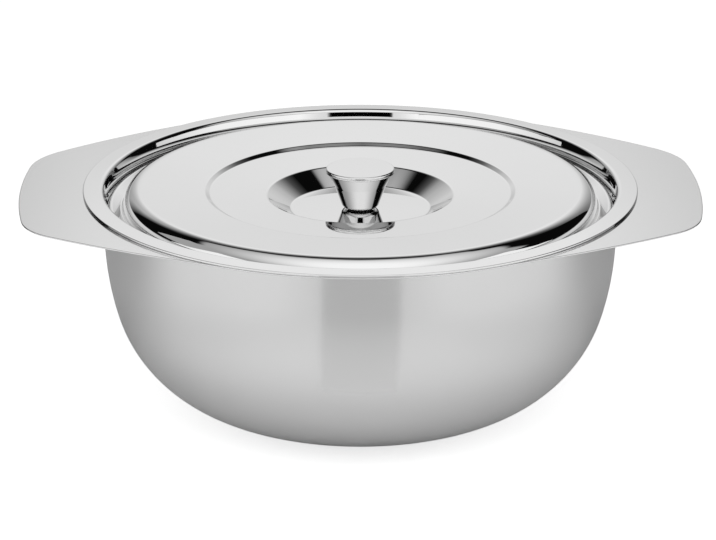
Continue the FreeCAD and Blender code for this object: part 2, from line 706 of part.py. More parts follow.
def make_lid_foam():
    """Foam inside the lid, clear of the knob's fasteners and of the filler plug."""
    body = make_body("lid_foam", "dims.mouth_height")

    def draw(outline):
        room = "(dims.washer_radius + dims.hardware_gap)"
        top = outline.trace([(room, LID_CORNERS[0][1])] + LID_CORNERS[1:7], construction=True)
        pan = outline.trace([("0", PAN_FLOOR)] + PAN_CORNERS[1:3], construction=True)
        upper = outline.beside(top, "dims.lid_sheet + dims.foam_gap", RIGHT)
        lower = outline.beside(pan, "dims.foam_gap", LEFT)
        outline.hold("DistanceY", *ORIGIN, upper[-1].index, END, size=lip_level(PAN_NECK, "0"))
        outline.hold("DistanceY", *ORIGIN, lower[-1].index, END,
                     size=lip_level(PAN_NECK, "dims.lid_sheet"))
        outline.link(upper[-1], END, lower[-1], END)
        hollow = outline.trace([
            (room, WELL_FLOOR),
            ("0", WELL_FLOOR),
            ("0", LID_PLUG_TOP),
            (PLUG_ROOM, LID_PLUG_TOP),
        ])
        outline.hold("DistanceX", *ORIGIN, upper[0].index, START, size=room)
        outline.hold("DistanceX", *ORIGIN, lower[0].index, START, size=PLUG_ROOM)
        outline.link(upper[0], START, hollow[0], START)
        outline.link(hollow[-1], END, lower[0], START)

    turned(body, "lid_filling", draw)


# ------------------------------------------------------------------ knob

DISH_LEVEL = "dims.mouth_height - dims.dish_drop"
CUP_TOP = "(dims.knob_height - dims.cap_sheet)"


def turned_ring(name, inside, outside, low, high):
    """A flat ring between two radii and two levels above the dish."""
    body = make_body(name, DISH_LEVEL)
    turned_loop(body, name + "_turned", [(inside, low), (outside, low), (outside, high), (inside, high)])
    return body


def make_knob_seal():
    """Soft seal between the knob and the dish."""
    turned_ring("knob_seal", HOLE_RADIUS, "dims.seal_radius", "0", "dims.seal_sheet")


def make_knob_cup():
    """Flared cup of the knob."""
    body = make_body("knob_cup", DISH_LEVEL)
    flare = f"({CUP_TOP} - dims.knob_sheet)"
    turned_sheet(body, "knob_cup_pressing", [
        (HOLE_RADIUS, "dims.seal_sheet"),
        ("dims.knob_foot_radius", "dims.seal_sheet", [("dims.knob_foot_bend", None)]),
        ("dims.knob_neck_radius", f"{flare} - dims.knob_flare_height",
         [("dims.knob_neck_bend", None)]),
        ("dims.knob_flare_radius", flare, [("dims.knob_flare_bend", None)]),
        ("dims.knob_rim_radius", flare),
    ], "dims.knob_sheet", LEFT)


def make_knob_cap():
    """Cap that closes the cup, with a skirt that centres it."""
    body = make_body("knob_cap", DISH_LEVEL)
    edge = "(dims.knob_rim_radius - dims.cap_inset)"
    skirt = f"({CUP_TOP} - dims.cap_skirt_height)"
    turned_loop(body, "knob_cap_turned", [
        ("0", "dims.knob_height"),
        ("0", CUP_TOP),
        ("dims.cap_skirt_radius - dims.cap_sheet", CUP_TOP),
        ("dims.cap_skirt_radius - dims.cap_sheet", skirt),
        ("dims.cap_skirt_radius", skirt),
        ("dims.cap_skirt_radius", CUP_TOP),
        (edge, CUP_TOP),
        (edge, "dims.knob_height", [("dims.cap_round", None)]),
    ])


def make_knob_screw():
    """Screw with its slotted head inside the cup, passing down through the lid's top."""
    body = make_body("knob_screw", DISH_LEVEL)
    top = f"({SCREW_SEAT} + dims.screw_head_height)"
    turned_loop(body, "screw_turned", [
        ("0", SCREW_END),
        ("dims.screw_radius", SCREW_END),
        ("dims.screw_radius", SCREW_SEAT),
        ("dims.screw_head_radius", SCREW_SEAT),
        ("dims.screw_head_radius", top, [("dims.screw_head_round", None)]),
        ("0", top),
    ])
    slot = Outline(body, "slot_section", "YZ_Plane")
    half = "dims.screw_slot_width / 2"
    slot.trace([
        (f"0 - {half}", f"{top} - dims.screw_slot_depth"),
        (half, f"{top} - dims.screw_slot_depth"),
        (half, f"{top} + dims.screw_slot_depth"),
        (f"0 - {half}", f"{top} + dims.screw_slot_depth"),
    ], closed=True)
    pocket = cut(body, "screw_slot", slot.finish(), upwards=False)
    pocket.Midplane = True
    doc.recompute()


def below_lid(gap):
    """Level, from the dish, that lies a gap below the underside of the lid's top."""
    return f"(0 - dims.lid_sheet - ({gap}))"


def make_washers():
    """Flat washer against the lid's top, and the split spring washer under it."""
    flat_low = below_lid("dims.washer_sheet")
    turned_ring("flat_washer", HOLE_RADIUS, "dims.washer_radius", flat_low, below_lid("0"))
    spring_low = below_lid("dims.washer_sheet + dims.spring_sheet")
    body = turned_ring("spring_washer", HOLE_RADIUS, "dims.spring_radius", spring_low, flat_low)
    split = Outline(body, "split_section", "XZ_Plane")
    half = "dims.spring_split / 2"
    split.trace([
        (f"0 - {half}", f"{spring_low} - dims.spring_sheet"),
        (half, f"{spring_low} - dims.spring_sheet"),
        (half, f"{flat_low} + dims.spring_sheet"),
        (f"0 - {half}", f"{flat_low} + dims.spring_sheet"),
    ], closed=True)
    cut(body, "washer_split", split.finish(), upwards=False)


NUT_SIDES = 6


def make_knob_nut():
    """Hexagon nut under the washers."""
    high = below_lid("dims.washer_sheet + dims.spring_sheet")
    body = make_body("knob_nut", DISH_LEVEL)
    plan = Outline(body, "nut_plan", "XY_Plane")
    reach = f"(dims.nut_flats / 2 / cos({180 / NUT_SIDES}))"
    corners = []
    for corner in range(NUT_SIDES):
        angle = 360 / NUT_SIDES * corner
        on_axis = corner in (0, NUT_SIDES // 2)
        corners.append((f"{reach} * cos({angle})", "0" if on_axis else f"{reach} * sin({angle})"))
    plan.trace(corners, closed=True)
    plan.ring("dims.screw_radius + dims.thread_gap")
    pad = body.newObject("PartDesign::Pad", "nut_block")
    pad.Profile = plan.finish()
    pad.setExpression("Length", "dims.nut_height")
    plan.sketch.setExpression("AttachmentOffset.Base.z", f"{high} - dims.nut_height")
    doc.recompute()


make_outer_shell()
make_inner_liner()
make_body_foam()
make_fill_plug("body_fill_plug", "dims.shell_sheet", "dims.recess_height")
make_lid_top()
make_lid_pan()
make_lid_foam()
make_fill_plug("lid_fill_plug", "dims.lid_sheet", f"({PAN_FLOOR} - dims.lid_sheet)", "dims.mouth_height")
make_knob_seal()
make_knob_cup()
make_knob_cap()
make_knob_screw()
make_washers()
make_knob_nut()
doc.recompute()

for item in doc.Objects:
    if "Invalid" in item.State or "Error" in item.State:
        raise ValueError(f"{item.Label} failed: {item.State}")
for node in nodes:
    if node.Shape.isNull() or not node.Shape.isValid() or not node.Shape.Solids:
        raise ValueError(f"{node.Label} has no sound solid")
for node in nodes:
    node.Shape.exportStep(os.path.join("parts", node.Label + ".step"))
    print(f"{node.Label}: {len(node.Shape.Solids)} solid, {node.Shape.Volume / 1000:.2f} cm3")
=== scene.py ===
import math
from functools import partial

import bmesh
import bpy
from bpy.props import FloatProperty, FloatVectorProperty, IntProperty, PointerProperty
from bpy.types import Operator, Panel, PropertyGroup
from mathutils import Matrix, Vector


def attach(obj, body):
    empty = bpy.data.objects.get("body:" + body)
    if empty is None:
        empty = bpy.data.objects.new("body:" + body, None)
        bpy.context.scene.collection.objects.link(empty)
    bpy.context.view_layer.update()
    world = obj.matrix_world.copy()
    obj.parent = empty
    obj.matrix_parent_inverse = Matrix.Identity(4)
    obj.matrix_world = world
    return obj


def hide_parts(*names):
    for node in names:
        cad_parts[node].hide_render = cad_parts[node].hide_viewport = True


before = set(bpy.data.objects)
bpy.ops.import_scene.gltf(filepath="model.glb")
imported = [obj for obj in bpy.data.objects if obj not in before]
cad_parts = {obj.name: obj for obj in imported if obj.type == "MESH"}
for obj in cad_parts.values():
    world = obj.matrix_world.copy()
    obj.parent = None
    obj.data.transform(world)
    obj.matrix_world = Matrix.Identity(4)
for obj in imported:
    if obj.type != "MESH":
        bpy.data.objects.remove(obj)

bl_info = {
    "name": "Insulated chapati casserole",
    "version": (1, 0, 0),
    "blender": (4, 5, 0),
    "location": "View3D > Sidebar > Casserole",
    "description": "Builds the looks of a double-walled steel casserole round its CAD frame",
    "category": "Add Mesh",
}

# Lengths are metres. The origin is the middle of the base, +Z is up, and the wings lie along X.

MM = 0.001
LEFT, RIGHT = 1, -1
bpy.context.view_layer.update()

# Meshes. Sections are turned along a circle of the axis radius. The edge band is how many sheet
# thicknesses at the brim's edge move out whole where the rest of the brim is stretched.

WELD = 0.0015 * MM
AXIS_RADIUS = 0.0001 * MM
SMALL_BEVEL = 0.15 * MM
EDGE_STEPS = 6
EDGE_BAND = 2
PANEL_STEPS = 80
FLOOR_STEPS = 128

# Finishes. A noise is its frequency, detail and roughness, and most of it lies in the noise
# range. The lathe drift is how far a turned pattern moves on in a turn of one radian.

RING_NOISE = (3000.0, 3.0, 0.6)
HAZE_NOISE = (25.0, 3.0, 0.6)
FLOOR_NOISE = (12.0, 2.0, 0.5)
SKIN_DETAIL, SKIN_ROUGHNESS = 4.0, 0.65
NOISE_RANGE = (0.3, 0.7)
LATHE_DRIFT = 0.0005
RING_SHARE = 0.6
HAZE_TINT = 0.97
MARK_DEPTH = 0.02 * MM
SKIN_SPREAD, SKIN_STRENGTH = 0.08, 0.5
FLOOR_TINT = 1.01
FLOOR_ROUGHNESS = 0.9

# Sockets of a colour's Mix node, by number, because several have the same name.

MIX_FACTOR, MIX_LOW, MIX_HIGH, MIX_RESULT = 0, 6, 7, 2

# The floor's glow as the steel sees it, with painted shade: it starts some way from the middle,
# and a painted shadow takes it away behind. Straight in front it is a share that falls with the
# distance, and at the sides one that rises with it: painted lighter and darker bands in the
# reflected floor. A fade is the place where it starts and the one where it ends, here as in the
# studio below.

MIRRORED_PAINTED_SHADE_FADE, PAINTED_SHADOW_BEHIND_FADE, GLOW_ACROSS_FADE = (0.07, 0.19), (-0.08, 0.10), (0.08, 0.22)
GLOW_MIDDLE_NEAR, GLOW_MIDDLE_FAR, GLOW_MIDDLE_FADE = 1.0, 0.35, (0.18, 0.45)
GLOW_SIDE_NEAR, GLOW_SIDE_FAR, GLOW_SIDE_FADE = 0.65, 1.0, (0.18, 0.35)

# The studio. The bright spot is on the panel above, the opening in the front panel, and the card
# on the floor, a glowing card that only the steel sees: a painted reflection. Each table is read
# straight between its pairs of place and value.

BRIGHT_X, BRIGHT_Y = 0.016, -0.393
BRIGHT_HALF_X, BRIGHT_HALF_Y = 0.50, 0.577
BRIGHT_FADE = (0.237, 1.42)
BACKDROP_HALF, BACKDROP_TOP = 0.8, 1.3
OPENING_X, OPENING_Z = -0.02, 0.49
OPENING_FADE_X, OPENING_FADE_Z = (0.27, 0.285), (0.055, 0.062)
FRONT_FADE = (0.28, 0.60)
SILL_INSET = 0.01
SILL_RISING, SILL_DIPPING = (0.0, 0.15), (0.0, 0.10)
CARD_X, CARD_START, CARD_REACH, CARD_LEVEL = -0.004, -0.143, 0.455, 0.0005
CARD_HALF, CARD_SPREAD = 0.030, 0.29
CARD_NEAR_LIGHT, CARD_FADE = 0.18, (-0.38, -0.12)
OVERHEAD_BACK = ((-0.50, 0.147), (-0.32, 0.331), (-0.18, 0.250), (-0.14, 0.200), (0.0, 0.130),
                 (0.12, 0.190), (0.16, 0.250), (0.20, 0.250), (0.24, 0.190), (0.32, 0.210),
                 (0.50, 0.040))
OVERHEAD_SOFTNESS = ((0.0, 0.10), (0.12, 0.10), (0.22, 0.04), (0.50, 0.04))
BACKDROP_ACROSS = ((-0.80, 0.0), (-0.65, 0.22), (-0.50, 0.53), (-0.40, 0.55), (-0.30, 0.70),
                   (-0.20, 0.93), (-0.10, 0.96), (0.0, 0.98), (0.10, 0.97), (0.20, 0.97),
                   (0.30, 0.80), (0.40, 0.63), (0.50, 0.48), (0.65, 0.29), (0.80, 0.17))
BACKDROP_UP = ((0.0, 0.66), (0.15, 0.66), (0.30, 0.83), (0.45, 0.95), (0.60, 1.01), (0.80, 0.70),
               (1.0, 0.26), (1.3, 0.03))
SILL_LIGHT = ((-1.0, 1.15), (-0.15, 1.10), (0.10, 0.90), (0.25, 0.75))
SENSOR_WIDTH = 36.0
CLIP_END = 50.0


def length(name, millimetres, description):
    """A length property whose default is given in millimetres."""
    return FloatProperty(name=name, description=description, default=millimetres * MM, min=0.0,
                         unit="LENGTH", precision=5)


def angle(name, degrees, description):
    """An angle property whose default is given in degrees."""
    return FloatProperty(name=name, description=description, default=math.radians(degrees),
                         subtype="ANGLE", unit="ROTATION")


def colour(name, default, description):
    return FloatVectorProperty(name=name, description=description, default=default, size=3,
                               min=0.0, max=1.0, subtype="COLOR")


def level(name, default, description):
    return FloatProperty(name=name, description=description, default=default, min=0.0)


# ---- sizes


class BowlSizes(PropertyGroup):
    """Sizes of the bowl's two sheets."""

    mouth_height: length("Mouth height", 109.6, "Level of the corner between mouth wall and ring")
    mouth_radius: length("Mouth radius", 119.7, "Radius of that corner")
    mouth_taper: length("Mouth taper", 1.9, "How much the mouth wall closes in down to the ledge")
    mouth_bend: length("Mouth bend", 2.0, "Rounding of the mouth's edge")
    mouth_flare: length("Mouth flare", 1.6, "How much of that taper lies in the flare at the top")
    mouth_flare_drop: length("Mouth flare drop", 5.0, "From the mouth's corner down to the flare")
    mouth_flare_bend: length("Mouth flare bend", 12.0, "Rounding where the flare starts")
    ring_width: length("Ring width", 9.2, "From the mouth's corner to the ring's edge")
    hem_width: length("Hem width", 7.4, "Width of the doubled edge of the ring")
    hem_round: length("Hem round", 0.5, "Rounding of the hem's nose")
    brim_fall: angle("Brim fall", 3.4, "How steeply ring and wings fall outwards")
    ledge_drop: length("Ledge drop", 10.7, "From the mouth's corner down to the lid's ledge")
    ledge_width: length("Ledge width", 4.5, "Width of the ledge")
    ledge_bend: length("Ledge bend", 1.4, "Rounding of the ledge's inner edge")
    ledge_root: length("Ledge root", 0.9, "Rounding between ledge and mouth wall")
    liner_sheet: length("Liner sheet", 0.6, "Thickness of the inner sheet")
    liner_floor: length("Liner floor", 10.6, "Level of the liner's floor")
    liner_taper: length("Liner taper", 7.3, "How much the liner wall closes in down to its floor")
    liner_sole_bend: length("Liner sole", 119.956, "Radius at the rim of the liner's floor")
    liner_sole_turn: angle("Liner sole turn", 17.0, "Turn of that radius")
    liner_heel_bend: length("Liner heel", 57.967, "Radius between the liner's floor and wall")
    shell_sheet: length("Shell sheet", 0.7, "Thickness of the outer sheet")
    shell_gap: length("Shell gap", 0.55, "Gap between the two sheets at the ledge")
    shell_taper: length("Shell taper", 2.1, "How much the shell wall closes in down to the base")
    shell_sole_bend: length("Shell sole", 134.980, "Radius at the rim of the base")
    shell_sole_turn: angle("Shell sole turn", 17.0, "Turn of that radius")
    shell_heel_bend: length("Shell heel", 66.011, "Radius of the lower side")
    shell_heel_turn: angle("Shell heel turn", 56.5, "Turn of that radius")
    shell_flank_bend: length("Shell flank", 134.980, "Radius that eases the side into the wall")
    brim_bend: length("Brim bend", 3.3, "Rounding under the brim")
    recess_height: length("Recess height", 1.8, "Height of the recess in the base")
    recess_radius: length("Recess radius", 13.0, "Radius of the recess's flat")
    recess_rim: length("Recess rim", 15.4, "Radius where the base starts")
    recess_bend: length("Recess bend", 1.2, "Rounding of the recess")
    wing_length: length("Wing length", 29.5, "From the ring's edge to the wing's tip")
    wing_bow: length("Wing bow", 300.0, "Radius of the wing's end")
    wing_corner: length("Wing corner", 34.7, "Radius of the wing's corners")
    wing_side_bow: length("Wing side bow", 400.0, "Radius that eases the side into the corner")
    wing_side_turn: angle("Wing side turn", 10.5, "Turn of that radius")
    wing_angle: angle("Wing angle", 27.3, "Between the wing's side and X")


class LidSizes(PropertyGroup):
    """Sizes of the lid's pressings and of the filler plugs."""

    lid_gap: length("Lid gap", 0.8, "Between the bead and the mouth wall")
    lid_sheet: length("Lid sheet", 0.5, "Thickness of the lid's sheets")
    lip_width: length("Lip width", 6.7, "From the shoulder's foot to the bead's edge")
    lip_angle: angle("Lip angle", 30.0, "How steeply the lip rises outwards")
    bead_bend: length("Bead bend", 1.3, "Outer radius of the rolled bead")
    bead_side: length("Bead side", 0.12, "Straight part of the bead's side")
    bead_reach: length("Bead reach", 2.8, "How far the bead rolls back under the lip")
    shoulder_root: length("Shoulder root", 1.0, "Rounding at the shoulder's foot")
    shoulder_bend: length("Shoulder bend", 8.022, "Rounding of the shoulder")
    crown_drop: length("Crown drop", 0.2, "From the mouth's corner down to the crown's edge")
    crown_inner_radius: length("Crown inner radius", 72.2, "Inner edge of the crown")
    crown_inner_drop: length("Crown inner drop", 2.25, "Drop of that edge")
    step_radius: length("Step radius", 70.0, "Foot of the step inside the crown")
    step_drop: length("Step drop", 3.6, "Drop of that foot")
    step_bend: length("Step bend", 1.5, "Rounding of the step")
    web_radius: length("Web radius", 43.5, "Edge of the dish")
    web_drop: length("Web drop", 4.6, "Drop of that edge")
    web_bend: length("Web bend", 2.5, "Rounding of the dish's edge")
    dish_radius: length("Dish radius", 32.4, "Floor of the dish")
    dish_drop: length("Dish drop", 11.4, "Drop of the dish's floor")
    dish_bend: length("Dish bend", 2.0, "Rounding of the dish's floor")
    pan_drop: length("Pan drop", 24.6, "From the mouth's corner down to the pan's upper face")
    pan_taper: length("Pan taper", 3.0, "How much the pan closes in down to its floor")
    pan_heel_bend: length("Pan heel", 8.0, "Radius between the pan's floor and wall")
    pan_neck_inset: length("Pan neck inset", 1.3, "From the shoulder's foot in to the pan's neck")
    pan_neck_bend: length("Pan neck bend", 1.2, "Rounding of the pan's neck")
    pan_edge_gap: length("Pan edge gap", 0.05, "From the bead's bend in to the pan's edge")
    hole_radius: length("Fill hole radius", 6.0, "Hole through which the foam goes in")
    plug_gap: length("Plug gap", 0.1, "Between the plug and its hole")
    plug_head_radius: length("Plug head radius", 9.0, "Radius of the plug's head")
    plug_head_height: length("Plug head height", 1.2, "Height of the plug's head")
    plug_head_round: length("Plug head round", 0.5, "Rounding of the plug's head")
    plug_barb: length("Plug barb", 0.8, "How far the barb stands out behind the sheet")
    plug_tail: length("Plug tail", 2.6, "Length of the plug behind the sheet")
    plug_lead: length("Plug lead", 1.2, "Taper of the plug's tail")


class KnobSizes(PropertyGroup):
    """Sizes of the knob."""

    height: length("Knob height", 19.3, "From the dish's floor to the top of the knob")
    sheet: length("Cup sheet", 0.8, "Thickness of the knob's cup")
    seat: length("Cup seat", 0.5, "Level of the cup's foot above the dish")
    screw_hole: length("Screw hole", 2.75, "Radius of the hole for the screw")
    foot_radius: length("Foot radius", 8.2, "Corner radius of the cup's foot")
    foot_bend: length("Foot bend", 2.6, "Rounding of the cup's foot")
    neck_radius: length("Neck radius", 12.1, "Radius where the cup starts to flare")
    neck_bend: length("Neck bend", 5.0, "Rounding where the flare starts")
    flare_height: length("Flare height", 6.1, "Height of the flare")
    flare_radius: length("Flare radius", 15.4, "Radius where the flare turns flat")
    flare_bend: length("Flare bend", 0.2, "Rounding there")
    rim_radius: length("Rim radius", 16.0, "Radius of the cup's lip")
    cap_sheet: length("Cap sheet", 1.2, "Thickness of the cap")
    cap_inset: length("Cap inset", 0.1, "How far the cap stays inside the cup's lip")
    cap_round: length("Cap round", 0.7, "Rounding of the cap's edge")
    seam_height: length("Seam height", 0.15, "Height of the seam between the cap and the cup's lip")
    seam_depth: length("Seam depth", 0.35, "Depth of that seam")
    cap_skirt_radius: length("Cap skirt radius", 13.4, "Radius of the skirt under the cap")
    cap_skirt_height: length("Cap skirt height", 2.0, "Height of that skirt")


class MeshDetail(PropertyGroup):
    """How finely the round shapes are divided."""

    steps: IntProperty(name="Turn steps", description="Faces round a turned piece", default=288,
                       min=24, max=512)
    bend_step: angle("Bend step", 5.0, "Largest turn between two points of a small bend")
    chord: length("Chord", 3.0, "Longest face along a large bend")
    span: length("Span", 4.0, "Longest face along a straight run")
    guard: length("Guard", 0.25, "Short face at each end of a straight run")


class Finishes(PropertyGroup):
    """Colours of the sheets."""

    polished_steel: colour("Polished steel", (0.80, 0.80, 0.80), "Lid, knob and liner")
    satin_steel: colour("Satin steel", (0.78, 0.78, 0.78), "Outer shell and the lid's pan")


class Studio(PropertyGroup):
    """The floor, the light and the camera."""

    floor_radius: length("Floor radius", 6000.0, "Radius of the floor")
    floor_grey: level("Floor grey", 0.8, "How pale the floor is")
    floor_glow_shown: level("Floor glow shown", 0.78, "The floor's own light, for the camera")
    floor_glow_mirrored: level("Floor glow mirrored", 0.22, "The same, in the steel")
    shade_start: length("Shade start", 50.0, "Radius where the shade under the bowl starts to fade")
    shade_end: length("Shade end", 170.0, "Radius where it has faded")
    shade_shown: level("Shade shown", 0.88, "Floor glow left in that shade, for the camera")
    overhead_height: length("Overhead height", 642.0, "Level of the panel above the lid")
    overhead_middle: level("Overhead middle", 1.15, "Light at the middle of that panel")
    overhead_edge: level("Overhead edge", 0.43, "Light at its edges")
    front_distance: length("Front distance", 1000.0, "From the casserole to the panel in front")
    front_light: level("Front light", 1.18, "Light of that panel")
    front_middle: level("Front middle", 0.88, "Light round the camera's opening")
    back_distance: length("Back distance", 900.0, "From the casserole to the backdrop")
    side_distance: length("Side distance", 567.0, "From the casserole to the panel on the left")
    side_sill: length("Side sill", 302.0, "Lower edge of that panel")
    side_end: length("Side end", 215.0, "How far back it reaches")
    side_light: level("Side light", 0.42, "Light of that panel")
    sill_end: length("Sill end", 230.0, "How far back the low panels on both sides reach")
    sill_rise: length("Sill rise", 200.0, "How much higher they are in front")
    sill_dip: length("Sill dip", 85.0, "How much lower they are at the back")
    right_reach: length("Right reach", 805.0, "How far right the panel above reaches")
    gap_light: level("Gap light", 0.004, "Light from the gaps between the panels")
    # The card's glow is a painted reflection, seen only in the steel.
    card_light: level("Card light", 0.54, "Light of the grey card on the floor in front")
    lens: FloatProperty(name="Lens", description="Focal length", default=221.1, unit="CAMERA")
    camera_distance: length("Camera distance", 2059.3, "From the camera to its target")
    camera_elevation: angle("Camera elevation", 19.04, "How far the camera looks down")
    camera_turn: angle("Camera turn", -1.0, "How far the camera stands to the right")
    camera_target: FloatVectorProperty(
        name="Camera target", description="Point that the camera looks at", size=3,
        default=(-1.05 * MM, 0.0, 67.28 * MM), subtype="XYZ", unit="LENGTH", precision=5)


class CasseroleSizes(PropertyGroup):
    """All sizes of the casserole and its studio."""

    bowl: PointerProperty(type=BowlSizes)
    lid: PointerProperty(type=LidSizes)
    knob: PointerProperty(type=KnobSizes)
    detail: PointerProperty(type=MeshDetail)
    finish: PointerProperty(type=Finishes)
    studio: PointerProperty(type=Studio)


def sizes(group):
    """One of the scene's groups of sizes: bowl, lid, knob, detail, finish or studio."""
    return getattr(bpy.context.scene.casserole, group)


# ---- sections of bent sheet


def ahead(place, heading, distance):
    """The place reached from a place by going a distance along a heading."""
    return place[0] + distance * math.cos(heading), place[1] + distance * math.sin(heading)


def bent(place, heading, radius, turn):
    """Where a bend that starts at a place ends."""
    side = LEFT if turn > 0 else RIGHT
    centre = ahead(place, heading + side * math.pi / 2, radius)
    return ahead(centre, heading + turn - side * math.pi / 2, radius)


def corner_bends(heading_in, heading_out, bends):
    """Radius and signed turn of each bend of a corner: the last one turns what is left."""
    if not isinstance(bends, list):
        bends = [(bends, None)]
    total = math.remainder(heading_out - heading_in, 2 * math.pi)
    turns = [math.copysign(turn, total) for radius, turn in bends[:-1]]
    turns.append(total - sum(turns))
    return [(bend[0], turn) for bend, turn in zip(bends, turns)]


def tangent_lengths(heading_in, heading_out, curve):
    """How far before and after its corner a curve starts and ends."""
    place, heading = (0.0, 0.0), heading_in
    for radius, turn in curve:
        place = bent(place, heading, radius, turn)
        heading += turn
    cross = math.sin(heading_out - heading_in)
    reach_in = (place[0] * math.sin(heading_out) - place[1] * math.cos(heading_out)) / cross
    reach_out = (place[1] * math.cos(heading_in) - place[0] * math.sin(heading_in)) / cross
    return reach_in, reach_out


def section(corners, detail, trim=0.0):
    """Points (radius, level, heading) along the runs and bends of a section.

    A corner is (radius, level), or also has its rounding: a radius, or a list of bends, each a
    radius and a turn. A short first and last stretch of each run keeps the shading of flats and
    bends apart. trim shortens the section at both ends.
    """
    legs = len(corners) - 1
    headings = []
    for here, there in zip(corners, corners[1:]):
        headings.append(math.atan2(there[1] - here[1], there[0] - here[0]))
    starts = [corner[:2] for corner in corners[:-1]]
    ends = [corner[:2] for corner in corners[1:]]
    starts[0] = ahead(starts[0], headings[0], trim)
    ends[-1] = ahead(ends[-1], headings[-1], -trim)
    curves = {}
    for number in range(1, legs):
        if len(corners[number]) > 2:
            before, after = headings[number - 1], headings[number]
            curve = corner_bends(before, after, corners[number][2])
            reach_in, reach_out = tangent_lengths(before, after, curve)
            ends[number - 1] = ahead(ends[number - 1], before, -reach_in)
            starts[number] = ahead(starts[number], after, reach_out)
            curves[number] = curve
    points = []
    for number in range(legs):
        points += run_points(starts[number], ends[number], headings[number], detail)
        if number + 1 in curves:
            points += bend_points(ends[number], headings[number], curves[number + 1], detail)
    return points


def run_points(start, end, heading, detail):
    """Points of a straight run: its ends, one close to each end, and evenly spaced ones."""
    reach = math.dist(start, end)
    guard = min(detail.guard, reach / 3)
    count = max(1, math.ceil((reach - 2 * guard) / detail.span))
    distances = [0.0] + [guard + (reach - 2 * guard) * step / count for step in range(count + 1)]
    distances.append(reach)
    return [ahead(start, heading, distance) + (heading,) for distance in distances]


def bend_points(place, heading, curve, detail):
    """Points inside the bends of a corner, without its two ends."""
    points = []
    for radius, turn in curve:
        fewest = abs(turn) / detail.bend_step
        count = max(1, math.ceil(fewest), math.ceil(radius * abs(turn) / detail.chord))
        for step in range(1, count + 1):
            share = turn * step / count
            points.append(bent(place, heading, radius, share) + (heading + share,))
        place = bent(place, heading, radius, turn)
        heading += turn
    return points[:-1]


def without_headings(points):
    """The points as (radius, level)."""
    return [point[:2] for point in points]


def beside(points, distance, side):
    """The points moved sideways off their headings."""
    return [ahead(point, point[2] + side * math.pi / 2, distance) + (point[2],) for point in points]


def raw_edge(end, heading, thickness, side):
    """Half-round edge of a sheet, from the end of its one face to the end of the other."""
    centre = ahead(end, heading + side * math.pi / 2, thickness / 2)
    start = heading - side * math.pi / 2
    return [ahead(centre, start + side * math.pi * step / EDGE_STEPS, thickness / 2)
            for step in range(1, EDGE_STEPS)]


def sheet_section(corners, thickness, side, detail):
    """Closed section of a bent sheet with half-round edges."""
    face = section(corners, detail, thickness / 2)
    back = beside(face, thickness, side)
    loop = face + raw_edge(face[-1], face[-1][2], thickness, side) + back[::-1]
    loop += raw_edge(back[0], back[0][2] + math.pi, thickness, side)
    return without_headings(loop)


# ---- meshes


def new_object(name, data):
    made = bpy.data.objects.new(name, data)
    bpy.context.scene.collection.objects.link(made)
    return made


def outward(mesh):
    """Merges doubles and turns every face outwards."""
    work = bmesh.new()
    work.from_mesh(mesh)
    bmesh.ops.remove_doubles(work, verts=work.verts, dist=WELD)
    bmesh.ops.recalc_face_normals(work, faces=work.faces)
    work.to_mesh(mesh)
    work.free()


def turning_tree():
    """Geometry nodes that turn a section, drawn with its radius along X, round the Z axis."""
    tree = bpy.data.node_groups.new("turned_sheet", "GeometryNodeTree")
    socket = tree.interface.new_socket
    socket("Section", in_out="INPUT", socket_type="NodeSocketGeometry")
    socket("Steps", in_out="INPUT", socket_type="NodeSocketInt")
    socket("Weld distance", in_out="INPUT", socket_type="NodeSocketFloat")
    socket("Finish", in_out="INPUT", socket_type="NodeSocketMaterial")
    socket("Piece", in_out="OUTPUT", socket_type="NodeSocketGeometry")
    given = tree.nodes.new("NodeGroupInput").outputs
    path = tree.nodes.new("GeometryNodeCurvePrimitiveCircle")
    path.inputs["Radius"].default_value = AXIS_RADIUS
    tree.links.new(given["Steps"], path.inputs["Resolution"])
    made = given["Section"]
    for kind, entry, others in (
            ("GeometryNodeMeshToCurve", "Mesh", {}),
            ("GeometryNodeCurveToMesh", "Profile Curve", {"Curve": path.outputs["Curve"]}),
            ("GeometryNodeMergeByDistance", "Geometry", {"Distance": given["Weld distance"]}),
            ("GeometryNodeSetShadeSmooth", "Geometry", {}),
            ("GeometryNodeRealizeInstances", "Geometry", {}),
            ("GeometryNodeSetMaterial", "Geometry", {"Material": given["Finish"]})):
        node = tree.nodes.new(kind)
        for name, source in {entry: made, **others}.items():
            tree.links.new(source, node.inputs[name])
        made = node.outputs[0]
    tree.links.new(made, tree.nodes.new("NodeGroupOutput").inputs["Piece"])
    return tree


def turned(name, loop, closed, material, steps):
    """A piece turned from (radius, level) points: a closed loop, or a line from axis to axis."""
    tree = bpy.data.node_groups.get("turned_sheet") or turning_tree()
    count = len(loop)
    edges = [(number, number + 1) for number in range(count - 1)]
    if closed:
        edges.append((count - 1, 0))
    line = bpy.data.meshes.new(name + "_section")
    line.from_pydata([(radius, -level, 0.0) for radius, level in loop], edges, [])
    drawn = new_object(name + "_section", line)
    modifier = drawn.modifiers.new("Turned sheet", "NODES")
    modifier.node_group = tree
    given = {item.name: item.identifier for item in tree.interface.items_tree
             if item.in_out == "INPUT"}
    modifier[given["Steps"]] = steps
    modifier[given["Weld distance"]] = WELD
    modifier[given["Finish"]] = material
    graph = bpy.context.evaluated_depsgraph_get()
    mesh = bpy.data.meshes.new_from_object(drawn.evaluated_get(graph))
    bpy.data.objects.remove(drawn)
    bpy.data.meshes.remove(line)
    mesh.name = name
    outward(mesh)
    return new_object(name, mesh)


def belongs(piece, body, slot, *nodes):
    """The piece rides on a body and stands for its CAD nodes, which it hides. slot is not used."""
    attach(piece, body)
    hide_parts(*nodes)


# ---- shapes of the bowl


def hem_thickness(bowl):
    return 2 * bowl.liner_sheet


def ring_radius(bowl):
    return bowl.mouth_radius + bowl.ring_width


def seat_radius(bowl):
    return bowl.mouth_radius - bowl.mouth_taper


